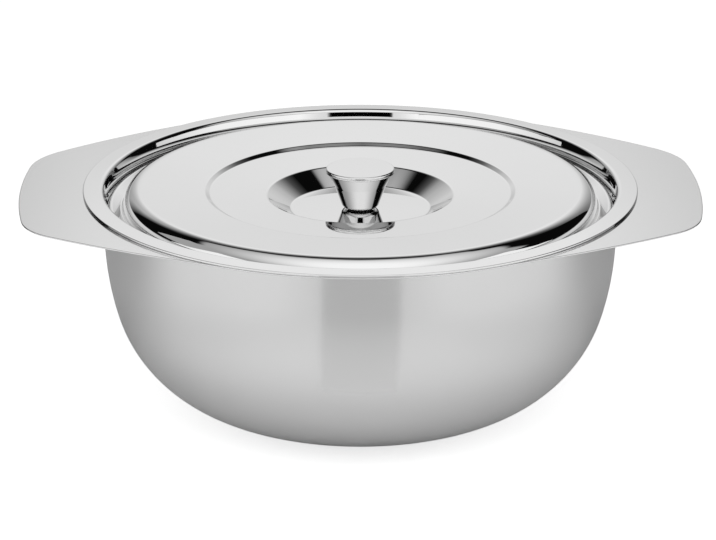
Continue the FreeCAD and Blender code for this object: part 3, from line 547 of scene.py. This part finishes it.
def brim_level(bowl, radius, depth):
    """Level at a radius of the face that lies a depth below the top of the ring."""
    fall = (radius - bowl.mouth_radius) * math.tan(bowl.brim_fall)
    return bowl.mouth_height - fall - depth / math.cos(bowl.brim_fall)


def wall_radius(bowl):
    """Radius of the shell's outer face below the brim."""
    return seat_radius(bowl) + bowl.liner_sheet + bowl.shell_gap + bowl.shell_sheet


def shell_corners(bowl):
    """Outer face of the shell, from the filling hole out to the wing's tip."""
    below = hem_thickness(bowl) + bowl.shell_sheet
    wall = wall_radius(bowl)
    tip = ring_radius(bowl) + bowl.wing_length
    side = [
        (bowl.shell_sole_bend, bowl.shell_sole_turn),
        (bowl.shell_heel_bend, bowl.shell_heel_turn),
        (bowl.shell_flank_bend, None),
    ]
    return [
        (sizes("lid").hole_radius, bowl.recess_height),
        (bowl.recess_radius, bowl.recess_height, bowl.recess_bend),
        (bowl.recess_rim, 0.0, bowl.recess_bend),
        (wall - bowl.shell_taper, 0.0, side),
        (wall, brim_level(bowl, wall, below), bowl.brim_bend),
        (tip, brim_level(bowl, tip, below)),
    ]


class WingOutline:
    """Plan of the brim: how far it reaches from the axis in each direction.

    In the first quarter a straight side comes off the ring, bows, rounds the wing's corner and
    meets the bowed end.
    """

    def __init__(self, bowl):
        self.ring = ring_radius(bowl)
        reach = self.ring + bowl.wing_length
        corner, side_bow = bowl.wing_corner, bowl.wing_side_bow
        self.across = math.pi / 2 - bowl.wing_angle
        side_start = self.across - bowl.wing_side_turn
        end_centre = (reach - bowl.wing_bow, 0.0)
        height = self.ring - side_bow + (side_bow - corner) * math.cos(bowl.wing_side_turn)
        foot = ahead((0.0, 0.0), self.across, height)
        along = self.across - math.pi / 2
        offset = (foot[0] - end_centre[0], foot[1] - end_centre[1])
        half = offset[0] * math.cos(along) + offset[1] * math.sin(along)
        rest = offset[0] ** 2 + offset[1] ** 2 - (bowl.wing_bow - corner) ** 2
        corner_centre = ahead(foot, along, -half + math.sqrt(half ** 2 - rest))
        side_centre = ahead(corner_centre, side_start, corner - side_bow)
        meeting = math.atan2(corner_centre[1] - end_centre[1], corner_centre[0] - end_centre[0])
        self.arcs = []
        for centre, radius, last in ((end_centre, bowl.wing_bow, meeting),
                                     (corner_centre, corner, side_start),
                                     (side_centre, side_bow, self.across)):
            join = ahead(centre, last, radius)
            self.arcs.append((centre, radius, math.atan2(join[1], join[0])))

    def reach(self, turn):
        """Distance from the axis to the brim's edge in a direction."""
        quarter = math.atan2(abs(math.sin(turn)), abs(math.cos(turn)))
        for centre, radius, last in self.arcs:
            if quarter <= last:
                along = centre[0] * math.cos(quarter) + centre[1] * math.sin(quarter)
                return along + math.sqrt(along ** 2 - centre[0] ** 2 - centre[1] ** 2 + radius ** 2)
        return self.ring / math.cos(max(0.0, self.across - quarter))


def trimmed_shell(bowl, detail):
    """The shell's section in every direction, its brim cut off at the outline."""
    loop = sheet_section(shell_corners(bowl), bowl.shell_sheet, LEFT, detail)
    outline = WingOutline(bowl)
    tip = max(radius for radius, level in loop)
    root = wall_radius(bowl) + bowl.brim_bend
    rim = EDGE_BAND * bowl.shell_sheet
    slope = math.tan(bowl.brim_fall)
    points = []
    for step in range(detail.steps):
        turn = 2 * math.pi * step / detail.steps
        reach = outline.reach(turn)
        stretch = (reach - rim - root) / (tip - rim - root)
        for radius, level in loop:
            if radius > tip - rim:
                radius, level = radius + reach - tip, level + (tip - reach) * slope
            elif radius > root:
                moved = root + (radius - root) * stretch
                radius, level = moved, level + (radius - moved) * slope
            points.append((radius * math.cos(turn), radius * math.sin(turn), level))
    return points, len(loop)


def swept_mesh(name, points, count, material):
    """A closed mesh of equal loops, each joined to the next and the last to the first."""
    loops = len(points) // count
    faces = []
    for loop in range(loops):
        here, there = loop * count, (loop + 1) % loops * count
        for number in range(count):
            after = (number + 1) % count
            faces.append((here + number, here + after, there + after, there + number))
    mesh = bpy.data.meshes.new(name)
    mesh.from_pydata(points, [], faces)
    mesh.materials.append(material)
    outward(mesh)
    mesh.shade_smooth()
    return new_object(name, mesh)


def liner_loop(bowl, detail):
    """Section of the liner: floor, wall, ledge, mouth wall, ring, and the hem folded under it."""
    seat = seat_radius(bowl)
    wall = seat - bowl.ledge_width
    ledge = bowl.mouth_height - bowl.ledge_drop
    ring = ring_radius(bowl)
    fold = ring - bowl.hem_width
    hem = hem_thickness(bowl)
    flare = bowl.mouth_height - bowl.mouth_flare_drop
    heel = [(bowl.liner_sole_bend, bowl.liner_sole_turn), (bowl.liner_heel_bend, None)]
    inside = [
        (0.0, bowl.liner_floor),
        (wall - bowl.liner_taper, bowl.liner_floor, heel),
        (wall, ledge, bowl.ledge_bend),
        (seat, ledge, bowl.ledge_root),
        (bowl.mouth_radius - bowl.mouth_flare, flare, bowl.mouth_flare_bend),
        (bowl.mouth_radius, bowl.mouth_height, bowl.mouth_bend),
    ]
    face = section(inside + [
        (ring, brim_level(bowl, ring, 0.0), bowl.hem_round),
        (ring, brim_level(bowl, ring, hem), bowl.hem_round),
        (fold, brim_level(bowl, fold, hem)),
    ], detail)
    back = section(inside + [(fold, brim_level(bowl, fold, 0.0))], detail)
    return without_headings(face + beside(back, bowl.liner_sheet, RIGHT)[::-1])


# ---- shapes of the lid and knob


def lid_radius(bowl, lid):
    return seat_radius(bowl) - lid.lid_gap


def bead_run(lid):
    """Length that the bead's bend takes off the lip."""
    return lid.bead_bend * math.tan((math.pi / 2 + lid.lip_angle) / 2)


def lip_level(bowl, lid, radius, depth):
    """Level of the face that lies a depth below the lid's lip."""
    top = bowl.mouth_height - bowl.ledge_drop + bead_run(lid) + lid.bead_side + lid.bead_bend
    fall = (lid_radius(bowl, lid) - radius) * math.tan(lid.lip_angle)
    return top - fall - depth / math.cos(lid.lip_angle)


def lid_corners(bowl, lid):
    """Upper face of the lid's top, from the screw hole to the end of the rolled bead."""
    top = bowl.mouth_height
    edge = lid_radius(bowl, lid)
    shoulder = edge - lid.lip_width
    return [
        (sizes("knob").screw_hole, top - lid.dish_drop),
        (lid.dish_radius, top - lid.dish_drop, lid.dish_bend),
        (lid.web_radius, top - lid.web_drop, lid.web_bend),
        (lid.step_radius, top - lid.step_drop, lid.step_bend),
        (lid.crown_inner_radius, top - lid.crown_inner_drop, lid.step_bend),
        (shoulder, top - lid.crown_drop, lid.shoulder_bend),
        (shoulder, lip_level(bowl, lid, shoulder, 0.0), lid.shoulder_root),
        (edge, lip_level(bowl, lid, edge, 0.0), lid.bead_bend),
        (edge, top - bowl.ledge_drop, lid.bead_bend),
        (edge - lid.bead_reach, top - bowl.ledge_drop),
    ]


def pan_corners(bowl, lid):
    """Upper face of the lid's pan, from its filling hole to its edge in the bead."""
    floor = bowl.mouth_height - lid.pan_drop
    neck = lid_radius(bowl, lid) - lid.lip_width - lid.pan_neck_inset
    edge = lid_radius(bowl, lid) - bead_run(lid) * math.cos(lid.lip_angle) - lid.pan_edge_gap
    return [
        (lid.hole_radius, floor),
        (neck - lid.pan_taper, floor, lid.pan_heel_bend),
        (neck, lip_level(bowl, lid, neck, lid.lid_sheet), lid.pan_neck_bend),
        (edge, lip_level(bowl, lid, edge, lid.lid_sheet)),
    ]


def cup_corners(bowl, lid, knob):
    """Outer face of the knob's cup, from the screw hole up to its lip."""
    dish = bowl.mouth_height - lid.dish_drop
    flare = dish + knob.height - knob.cap_sheet - knob.sheet
    return [
        (knob.screw_hole, dish + knob.seat),
        (knob.foot_radius, dish + knob.seat, knob.foot_bend),
        (knob.neck_radius, flare - knob.flare_height, knob.neck_bend),
        (knob.flare_radius, flare, knob.flare_bend),
        (knob.rim_radius, flare),
    ]


def cap_corners(bowl, lid, knob):
    """Section of the cap and its skirt, from the axis above round to the axis below."""
    top = bowl.mouth_height - lid.dish_drop + knob.height
    under = top - knob.cap_sheet
    edge = knob.rim_radius - knob.cap_inset
    skirt = knob.cap_skirt_radius
    return [
        (0.0, top),
        (edge, top, knob.cap_round),
        (edge, under + knob.seam_height),
        (edge - knob.seam_depth, under + knob.seam_height),
        (edge - knob.seam_depth, under),
        (skirt, under),
        (skirt, under - knob.cap_skirt_height, SMALL_BEVEL),
        (skirt - knob.cap_sheet, under - knob.cap_skirt_height, SMALL_BEVEL),
        (skirt - knob.cap_sheet, under),
        (0.0, under),
    ]


def plug_corners(lid, sheet, level):
    """Section of a filler plug in a sheet whose underside is at a level, from the axis below."""
    stem = lid.hole_radius - lid.plug_gap
    barb = lid.hole_radius + lid.plug_barb
    behind = level + sheet + lid.plug_gap
    tail = level + sheet + lid.plug_tail
    return [
        (0.0, level - lid.plug_head_height),
        (lid.plug_head_radius, level - lid.plug_head_height, lid.plug_head_round),
        (lid.plug_head_radius, level),
        (stem, level),
        (stem, behind),
        (barb, behind),
        (barb - lid.plug_lead, tail, SMALL_BEVEL),
        (0.0, tail),
    ]


# ---- finishes


class Wiring:
    """Adds nodes to a tree and joins them."""

    def __init__(self, tree):
        self.tree = tree
        tree.nodes.clear()

    def feed(self, node, inputs):
        """Sets a node's sockets to constants, or joins them to other nodes' outputs."""
        for name, value in inputs.items():
            if isinstance(value, bpy.types.NodeSocket):
                self.tree.links.new(value, node.inputs[name])
            else:
                node.inputs[name].default_value = value
        return node

    def node(self, kind, inputs=None, **settings):
        """Adds a node: inputs are what feeds its sockets, by name or number."""
        made = self.tree.nodes.new(kind)
        for name, value in settings.items():
            setattr(made, name, value)
        return self.feed(made, inputs or {})

    def math(self, operation, *values):
        made = self.node("ShaderNodeMath", dict(enumerate(values)), operation=operation)
        return made.outputs["Value"]

    def ranged(self, value, low, high, to_low, to_high):
        """A value taken smoothly from one range to another."""
        given = {"Value": value, "From Min": low, "From Max": high, "To Min": to_low, "To Max": to_high}
        made = self.node("ShaderNodeMapRange", given, interpolation_type="SMOOTHSTEP")
        return made.outputs["Result"]

    def noise(self, vector, scale, detail, roughness):
        given = {"Vector": vector, "Scale": scale, "Detail": detail, "Roughness": roughness}
        return self.node("ShaderNodeTexNoise", given).outputs["Fac"]

    def tint(self, factor, low, high):
        """A colour between two others."""
        given = {MIX_FACTOR: factor, MIX_LOW: low, MIX_HIGH: high}
        return self.node("ShaderNodeMix", given, data_type="RGBA").outputs[MIX_RESULT]

    def bump(self, height, distance, strength):
        given = {"Height": height, "Distance": distance, "Strength": strength}
        return self.node("ShaderNodeBump", given).outputs["Normal"]

    def place(self):
        return self.node("ShaderNodeTexCoord").outputs["Object"]

    def split(self, vector):
        return self.node("ShaderNodeSeparateXYZ", {"Vector": vector}).outputs

    def lathe_place(self):
        """A place on a turned piece as (radius, level, a little of the turn)."""
        x, y, level = self.split(self.place())
        radius = self.math("SQRT", self.math("ADD", self.math("MULTIPLY", x, x),
                                             self.math("MULTIPLY", y, y)))
        turn = self.math("MULTIPLY", self.math("ARCTAN2", y, x), LATHE_DRIFT)
        joined = self.node("ShaderNodeCombineXYZ", {"X": radius, "Y": level, "Z": turn})
        return joined.outputs["Vector"]


def opaque(colour, share=1.0):
    """A share of a colour, with full alpha."""
    return [channel * share for channel in colour] + [1.0]


def new_finish(name, kind="ShaderNodeBsdfPrincipled"):
    """A material with one shader, its wiring and the shader."""
    made = bpy.data.materials.new(name)
    made.use_nodes = True
    wiring = Wiring(made.node_tree)
    shader = wiring.node(kind)
    wiring.node("ShaderNodeOutputMaterial", {"Surface": shader.outputs[0]})
    return made, wiring, shader


def steel_finish(name, colour, roughness, spread, marks):
    """Steel sheet turned on a lathe and polished, with fine rings and a faint haze.

    spread is how far the roughness varies, and marks how strongly the rings stand out.
    """
    made, wiring, shader = new_finish(name)
    rings = wiring.noise(wiring.lathe_place(), *RING_NOISE)
    haze = wiring.noise(wiring.place(), *HAZE_NOISE)
    grain = wiring.math("ADD", wiring.math("MULTIPLY", rings, RING_SHARE),
                        wiring.math("MULTIPLY", haze, 1 - RING_SHARE))
    wiring.feed(shader, {
        "Base Color": wiring.tint(haze, opaque(colour, HAZE_TINT), opaque(colour)),
        "Metallic": 1.0,
        "Roughness": wiring.ranged(grain, *NOISE_RANGE, roughness - spread, roughness + spread),
        "Normal": wiring.bump(rings, MARK_DEPTH, marks),
    })
    return made


def polished_finish(name):
    """The bright steel of the liner, the lid's top and the knob."""
    return steel_finish(name, sizes("finish").polished_steel, roughness=0.03, spread=0.01, marks=0.05)


def cast_finish(name, low, high, roughness, frequency, depth):
    """Plastic, rubber or foam: a mottled colour and a fine bumpy skin."""
    made, wiring, shader = new_finish(name)
    skin = wiring.noise(wiring.place(), frequency, SKIN_DETAIL, SKIN_ROUGHNESS)
    low_roughness, high_roughness = roughness - SKIN_SPREAD, roughness + SKIN_SPREAD
    wiring.feed(shader, {
        "Base Color": wiring.tint(skin, opaque(low), opaque(high)),
        "Roughness": wiring.ranged(skin, *NOISE_RANGE, low_roughness, high_roughness),
        "Normal": wiring.bump(skin, depth, SKIN_STRENGTH),
    })
    return made


# ---- pieces


class OuterShell(Operator):
    """Makes the outer bowl with its brim and wings."""

    bl_idname = "casserole.outer_shell"
    bl_label = "Outer shell"

    def execute(self, context):
        points, count = trimmed_shell(sizes("bowl"), sizes("detail"))
        finish = steel_finish("satin_steel_sheet", sizes("finish").satin_steel, roughness=0.16,
                              spread=0.03, marks=0.1)
        piece = swept_mesh("shell_sheet", points, count, finish)
        belongs(piece, "bowl", "satin_steel", "outer_shell")
        return {"FINISHED"}


class InnerLiner(Operator):
    """Makes the inner bowl with the lid's ledge, the mouth wall and the hemmed ring."""

    bl_idname = "casserole.inner_liner"
    bl_label = "Inner liner"

    def execute(self, context):
        bowl, detail = sizes("bowl"), sizes("detail")
        finish = polished_finish("polished_liner")
        piece = turned("liner_sheet", liner_loop(bowl, detail), False, finish, detail.steps)
        belongs(piece, "bowl", "polished_steel", "inner_liner")
        return {"FINISHED"}


class LidSheets(Operator):
    """Makes the lid's pressed top and the pan under it."""

    bl_idname = "casserole.lid_sheets"
    bl_label = "Lid sheets"

    def execute(self, context):
        bowl, lid, detail = sizes("bowl"), sizes("lid"), sizes("detail")
        polished = polished_finish("polished_lid")
        satin = steel_finish("satin_pan", sizes("finish").satin_steel, roughness=0.25, spread=0.05,
                             marks=0.2)
        for name, corners, finish, slot, node in (
                ("lid_top_sheet", lid_corners(bowl, lid), polished, "polished_steel", "lid_top"),
                ("lid_pan_sheet", pan_corners(bowl, lid), satin, "satin_steel", "lid_pan")):
            loop = sheet_section(corners, lid.lid_sheet, RIGHT, detail)
            belongs(turned(name, loop, True, finish, detail.steps), "lid", slot, node)
        return {"FINISHED"}


class Knob(Operator):
    """Makes the knob's flared cup and its cap."""

    bl_idname = "casserole.knob"
    bl_label = "Knob"

    def execute(self, context):
        bowl, lid, knob, detail = sizes("bowl"), sizes("lid"), sizes("knob"), sizes("detail")
        finish = polished_finish("polished_knob")
        loop = sheet_section(cup_corners(bowl, lid, knob), knob.sheet, LEFT, detail)
        cup = turned("knob_cup_sheet", loop, True, finish, detail.steps)
        belongs(cup, "lid", "polished_steel", "knob_cup")
        loop = without_headings(section(cap_corners(bowl, lid, knob), detail))
        cap = turned("knob_cap_sheet", loop, False, finish, detail.steps)
        belongs(cap, "lid", "polished_steel", "knob_cap")
        return {"FINISHED"}


class FillPlugs(Operator):
    """Makes the two plugs that close the foam's filling holes."""

    bl_idname = "casserole.fill_plugs"
    bl_label = "Fill plugs"

    def execute(self, context):
        bowl, lid, detail = sizes("bowl"), sizes("lid"), sizes("detail")
        finish = cast_finish("plug_moulding", low=(0.03, 0.03, 0.032), high=(0.05, 0.05, 0.052),
                             roughness=0.45, frequency=900.0, depth=0.02 * MM)
        pan_underside = bowl.mouth_height - lid.pan_drop - lid.lid_sheet
        for name, body, sheet, level, node in (
                ("bowl_plug", "bowl", bowl.shell_sheet, bowl.recess_height, "body_fill_plug"),
                ("lid_plug", "lid", lid.lid_sheet, pan_underside, "lid_fill_plug")):
            loop = without_headings(section(plug_corners(lid, sheet, level), detail))
            piece = turned(name, loop, False, finish, detail.steps // 2)
            belongs(piece, body, "plug_plastic", node)
        return {"FINISHED"}


class CarriedParts(Operator):
    """Gives the foam, the seal and the knob's fasteners their finishes."""

    bl_idname = "casserole.carried_parts"
    bl_label = "Foam, seal and fasteners"

    def execute(self, context):
        foam = cast_finish("foam_filling", low=(0.62, 0.52, 0.30), high=(0.80, 0.72, 0.50),
                           roughness=0.9, frequency=450.0, depth=0.4 * MM)
        rubber = cast_finish("seal_rubber", low=(0.02, 0.02, 0.02), high=(0.035, 0.035, 0.035),
                             roughness=0.6, frequency=700.0, depth=0.02 * MM)
        zinc = steel_finish("fastener_zinc", (0.62, 0.62, 0.60), roughness=0.32, spread=0.06,
                            marks=0.3)
        finishes = {
            foam: ("body_foam", "lid_foam"),
            rubber: ("knob_seal",),
            zinc: ("knob_screw", "flat_washer", "spring_washer", "knob_nut"),
        }
        for finish, names in finishes.items():
            for name in names:
                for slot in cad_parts[name].material_slots:
                    slot.material = finish
        return {"FINISHED"}


# ---- stage


def make_floor():
    """A pale round floor that keeps the casserole's shadow, partly real and partly painted into its
    glow, and is white away from it.
    """
    studio = sizes("studio")
    mesh = bpy.data.meshes.new("studio_floor")
    work = bmesh.new()
    bmesh.ops.create_circle(work, cap_ends=True, segments=FLOOR_STEPS, radius=studio.floor_radius)
    work.to_mesh(mesh)
    work.free()
    mesh.materials.append(floor_finish(studio))
    new_object("studio_floor", mesh)


def floor_finish(studio):
    """Pale matt floor: its own light makes it white for the camera and pale in the steel, where it
    has painted shade near and behind the casserole and painted lighter and darker bands in front.
    """
    made, wiring, shader = new_finish("studio_floor")
    grey = [studio.floor_grey] * 3
    grain = wiring.noise(wiring.place(), *FLOOR_NOISE)
    wiring.feed(shader, {
        "Base Color": wiring.tint(grain, opaque(grey), opaque(grey, FLOOR_TINT)),
        "Roughness": FLOOR_ROUGHNESS,
        "Specular IOR Level": 0.0,
    })
    rays = wiring.node("ShaderNodeLightPath").outputs
    shown = wiring.math("MAXIMUM", rays["Is Camera Ray"], rays["Is Transmission Ray"])
    away = wiring.split(wiring.lathe_place())["X"]
    place = wiring.split(wiring.place())
    # Painted shade: only the steel sees this glow, faded out near the casserole and behind it, and
    # painted lighter and darker across the front.
    beyond_painted_shade = wiring.ranged(away, *MIRRORED_PAINTED_SHADE_FADE, 0.0, rays["Is Glossy Ray"])
    full = studio.floor_glow_mirrored
    middle = wiring.ranged(away, *GLOW_MIDDLE_FADE, full * GLOW_MIDDLE_NEAR, full * GLOW_MIDDLE_FAR)
    side = wiring.ranged(away, *GLOW_SIDE_FADE, full * GLOW_SIDE_NEAR, full * GLOW_SIDE_FAR)
    spread = wiring.ranged(wiring.math("ABSOLUTE", place["X"]), *GLOW_ACROSS_FADE, middle, side)
    front = wiring.math("MULTIPLY", place["Y"], -1.0)
    mirrored = wiring.math("MULTIPLY", beyond_painted_shade, wiring.ranged(front, *PAINTED_SHADOW_BEHIND_FADE, 0.0, spread))
    # Painted shadow: for the camera the floor's glow is lower under the bowl, on top of the real shadow
    # in the diffuse floor.
    full = studio.floor_glow_shown
    seen = wiring.ranged(away, studio.shade_start, studio.shade_end, full * studio.shade_shown, full)
    glow = wiring.node("ShaderNodeEmission",
                       {"Strength": wiring.ranged(shown, 0.0, 1.0, mirrored, seen)})
    both = wiring.node("ShaderNodeAddShader", {0: shader.outputs["BSDF"], 1: glow.outputs["Emission"]})
    wiring.feed(wiring.tree.nodes["Material Output"], {"Surface": both.outputs["Shader"]})
    return made


def between(low, high, share):
    """The value at a share of the way from low to high."""
    return low + (high - low) * share


def read_off(table, place):
    """A table's value at a place."""
    before, low = table[0]
    for after, high in table[1:]:
        if place < after:
            return between(low, high, max(0.0, place - before) / (after - before))
        before, low = after, high
    return low


def eased(value, start, end):
    """Rises smoothly from 0 at the start to 1 at the end."""
    share = min(1.0, max(0.0, (value - start) / (end - start)))
    return share * share * (3 - 2 * share)


def light_panel(name, finish, spot):
    """A panel that gives light: spot gives place and light for two shares from 0 to 1."""
    places, levels, faces = [], [], []
    row = PANEL_STEPS + 1
    for up in range(row):
        for along in range(row):
            place, light = spot(sizes("studio"), along / PANEL_STEPS, up / PANEL_STEPS)
            places.append(place)
            levels.append(light)
            if up and along:
                corner = up * row + along
                faces.append((corner - row - 1, corner - row, corner, corner - 1))
    mesh = bpy.data.meshes.new(name)
    mesh.from_pydata(places, [], faces)
    mesh.attributes.new("glow", "FLOAT", "POINT").data.foreach_set("value", levels)
    mesh.materials.append(finish)
    panel = new_object(name, mesh)
    panel.visible_camera = False
    return panel


def panel_finish():
    """Gives as much light as the mesh's glow says."""
    made, wiring, light = new_finish("light_panel", "ShaderNodeEmission")
    glow = wiring.node("ShaderNodeAttribute", attribute_name="glow")
    wiring.feed(light, {"Strength": glow.outputs["Fac"]})
    return made


def overhead_spot(studio, along, up):
    """The panel above: brightest over the front, with a soft back edge."""
    x = between(-studio.side_distance, studio.right_reach, along)
    edge, softness = read_off(OVERHEAD_BACK, x), read_off(OVERHEAD_SOFTNESS, abs(x))
    y = between(-studio.front_distance, edge + softness, up)
    away = math.hypot((x - BRIGHT_X) / BRIGHT_HALF_X, (y - BRIGHT_Y) / BRIGHT_HALF_Y)
    light = between(studio.overhead_middle, studio.overhead_edge, eased(away, *BRIGHT_FADE))
    light *= 1 - eased(y, edge - softness, edge + softness)
    return (x, y, studio.overhead_height), light


def backdrop_spot(studio, along, up):
    """The backdrop: brightest in its middle."""
    x = between(-BACKDROP_HALF, BACKDROP_HALF, along)
    z = BACKDROP_TOP * up
    light = read_off(BACKDROP_ACROSS, x) * read_off(BACKDROP_UP, z)
    return (x, studio.back_distance, z), light


def side_spot(studio, along, up):
    """The grey panel on the left."""
    y = between(-studio.front_distance, studio.side_end, along)
    z = between(studio.side_sill, studio.overhead_height, up)
    return (-studio.side_distance, y, z), studio.side_light


def front_spot(studio, along, up):
    """The panel in front, with the camera's dark opening."""
    x = between(-studio.side_distance, studio.right_reach, along)
    z = up * studio.overhead_height
    opening = 1 - eased(abs(x - OPENING_X), *OPENING_FADE_X)
    opening *= 1 - eased(abs(z - OPENING_Z), *OPENING_FADE_Z)
    light = between(studio.front_middle, studio.front_light, eased(abs(x), *FRONT_FADE))
    return (x, -studio.front_distance, z), light * (1 - opening)


def sill_spot(studio, along, up, side):
    """The low panel on one side: higher in front of the casserole, and lower behind it."""
    y = between(-studio.front_distance, studio.sill_end, along)
    top = studio.side_sill + studio.sill_rise * eased(-y, *SILL_RISING)
    top -= studio.sill_dip * eased(y, *SILL_DIPPING)
    return (side * (studio.side_distance - SILL_INSET), y, top * up), read_off(SILL_LIGHT, y)


def card_spot(studio, along, up):
    """The grey glowing card that lies in front, wider further off: a painted reflection that only
    the steel sees.
    """
    y = CARD_START - CARD_REACH * up
    half = CARD_HALF - (y - CARD_START) * CARD_SPREAD
    light = studio.card_light + CARD_NEAR_LIGHT * eased(y, *CARD_FADE)
    return (half * (2 * along - 1) + CARD_X, y, CARD_LEVEL), light


def light_studio():
    """Soft panels of light round the casserole; the camera sees plain white past them."""
    scene = bpy.context.scene
    scene.view_settings.view_transform = "Standard"
    finish = panel_finish()
    for name, spot in (("overhead_panel", overhead_spot), ("backdrop_panel", backdrop_spot),
                       ("side_panel", side_spot), ("front_panel", front_spot),
                       ("left_sill_panel", partial(sill_spot, side=-1)),
                       ("right_sill_panel", partial(sill_spot, side=1))):
        light_panel(name, finish, spot)
    # A painted reflection: the card glows only for the steel, lights nothing and casts no shadow.
    card = light_panel("painted_reflection_card", finish, card_spot)
    card.visible_diffuse = False
    card.visible_shadow = False
    world = bpy.data.worlds.new("studio")
    scene.world = world
    world.use_nodes = True
    wiring = Wiring(world.node_tree)
    rays = wiring.node("ShaderNodeLightPath").outputs
    strength = wiring.ranged(rays["Is Camera Ray"], 0.0, 1.0, sizes("studio").gap_light, 1.0)
    light = wiring.node("ShaderNodeBackground", {"Strength": strength})
    wiring.node("ShaderNodeOutputWorld", {"Surface": light.outputs["Background"]})


def place_camera():
    """Looks at the casserole from in front and a little above."""
    studio = sizes("studio")
    data = bpy.data.cameras.new("camera")
    data.lens = studio.lens
    data.sensor_width = SENSOR_WIDTH
    data.sensor_fit = "HORIZONTAL"
    data.clip_end = CLIP_END
    camera = new_object("camera", data)
    flat = studio.camera_distance * math.cos(studio.camera_elevation)
    away = Vector((
        flat * math.sin(studio.camera_turn),
        -flat * math.cos(studio.camera_turn),
        studio.camera_distance * math.sin(studio.camera_elevation),
    ))
    camera.location = Vector(studio.camera_target) + away
    camera.rotation_euler = (-away).to_track_quat("-Z", "Y").to_euler()
    bpy.context.scene.camera = camera


class Stage(Operator):
    """Makes the floor, the studio's light and the camera."""

    bl_idname = "casserole.stage"
    bl_label = "Stage"

    def execute(self, context):
        make_floor()
        light_studio()
        place_camera()
        return {"FINISHED"}


# ---- add-on


PIECE_OPERATORS = (OuterShell, InnerLiner, LidSheets, Knob, FillPlugs, CarriedParts, Stage)


class CasserolePanel(Panel):
    """Lists the sizes and the pieces in the 3D view's sidebar."""

    bl_idname = "VIEW3D_PT_casserole"
    bl_label = "Casserole"
    bl_space_type = "VIEW_3D"
    bl_region_type = "UI"
    bl_category = "Casserole"

    def draw(self, context):
        for operator in PIECE_OPERATORS:
            self.layout.operator(operator.bl_idname)
        for group in ("bowl", "lid", "knob", "detail", "finish", "studio"):
            box = self.layout.box()
            box.label(text=group.capitalize())
            for name in sizes(group).__annotations__:
                box.prop(sizes(group), name)


CLASSES = (BowlSizes, LidSizes, KnobSizes, MeshDetail, Finishes, Studio, CasseroleSizes,
           *PIECE_OPERATORS, CasserolePanel)


def register():
    for kind in CLASSES:
        bpy.utils.register_class(kind)
    bpy.types.Scene.casserole = PointerProperty(type=CasseroleSizes)


def unregister():
    del bpy.types.Scene.casserole
    for kind in reversed(CLASSES):
        bpy.utils.unregister_class(kind)


def main():
    register()
    bpy.ops.casserole.outer_shell()
    bpy.ops.casserole.inner_liner()
    bpy.ops.casserole.lid_sheets()
    bpy.ops.casserole.knob()
    bpy.ops.casserole.fill_plugs()
    bpy.ops.casserole.carried_parts()
    bpy.ops.casserole.stage()


if __name__ == "__main__":
    main()
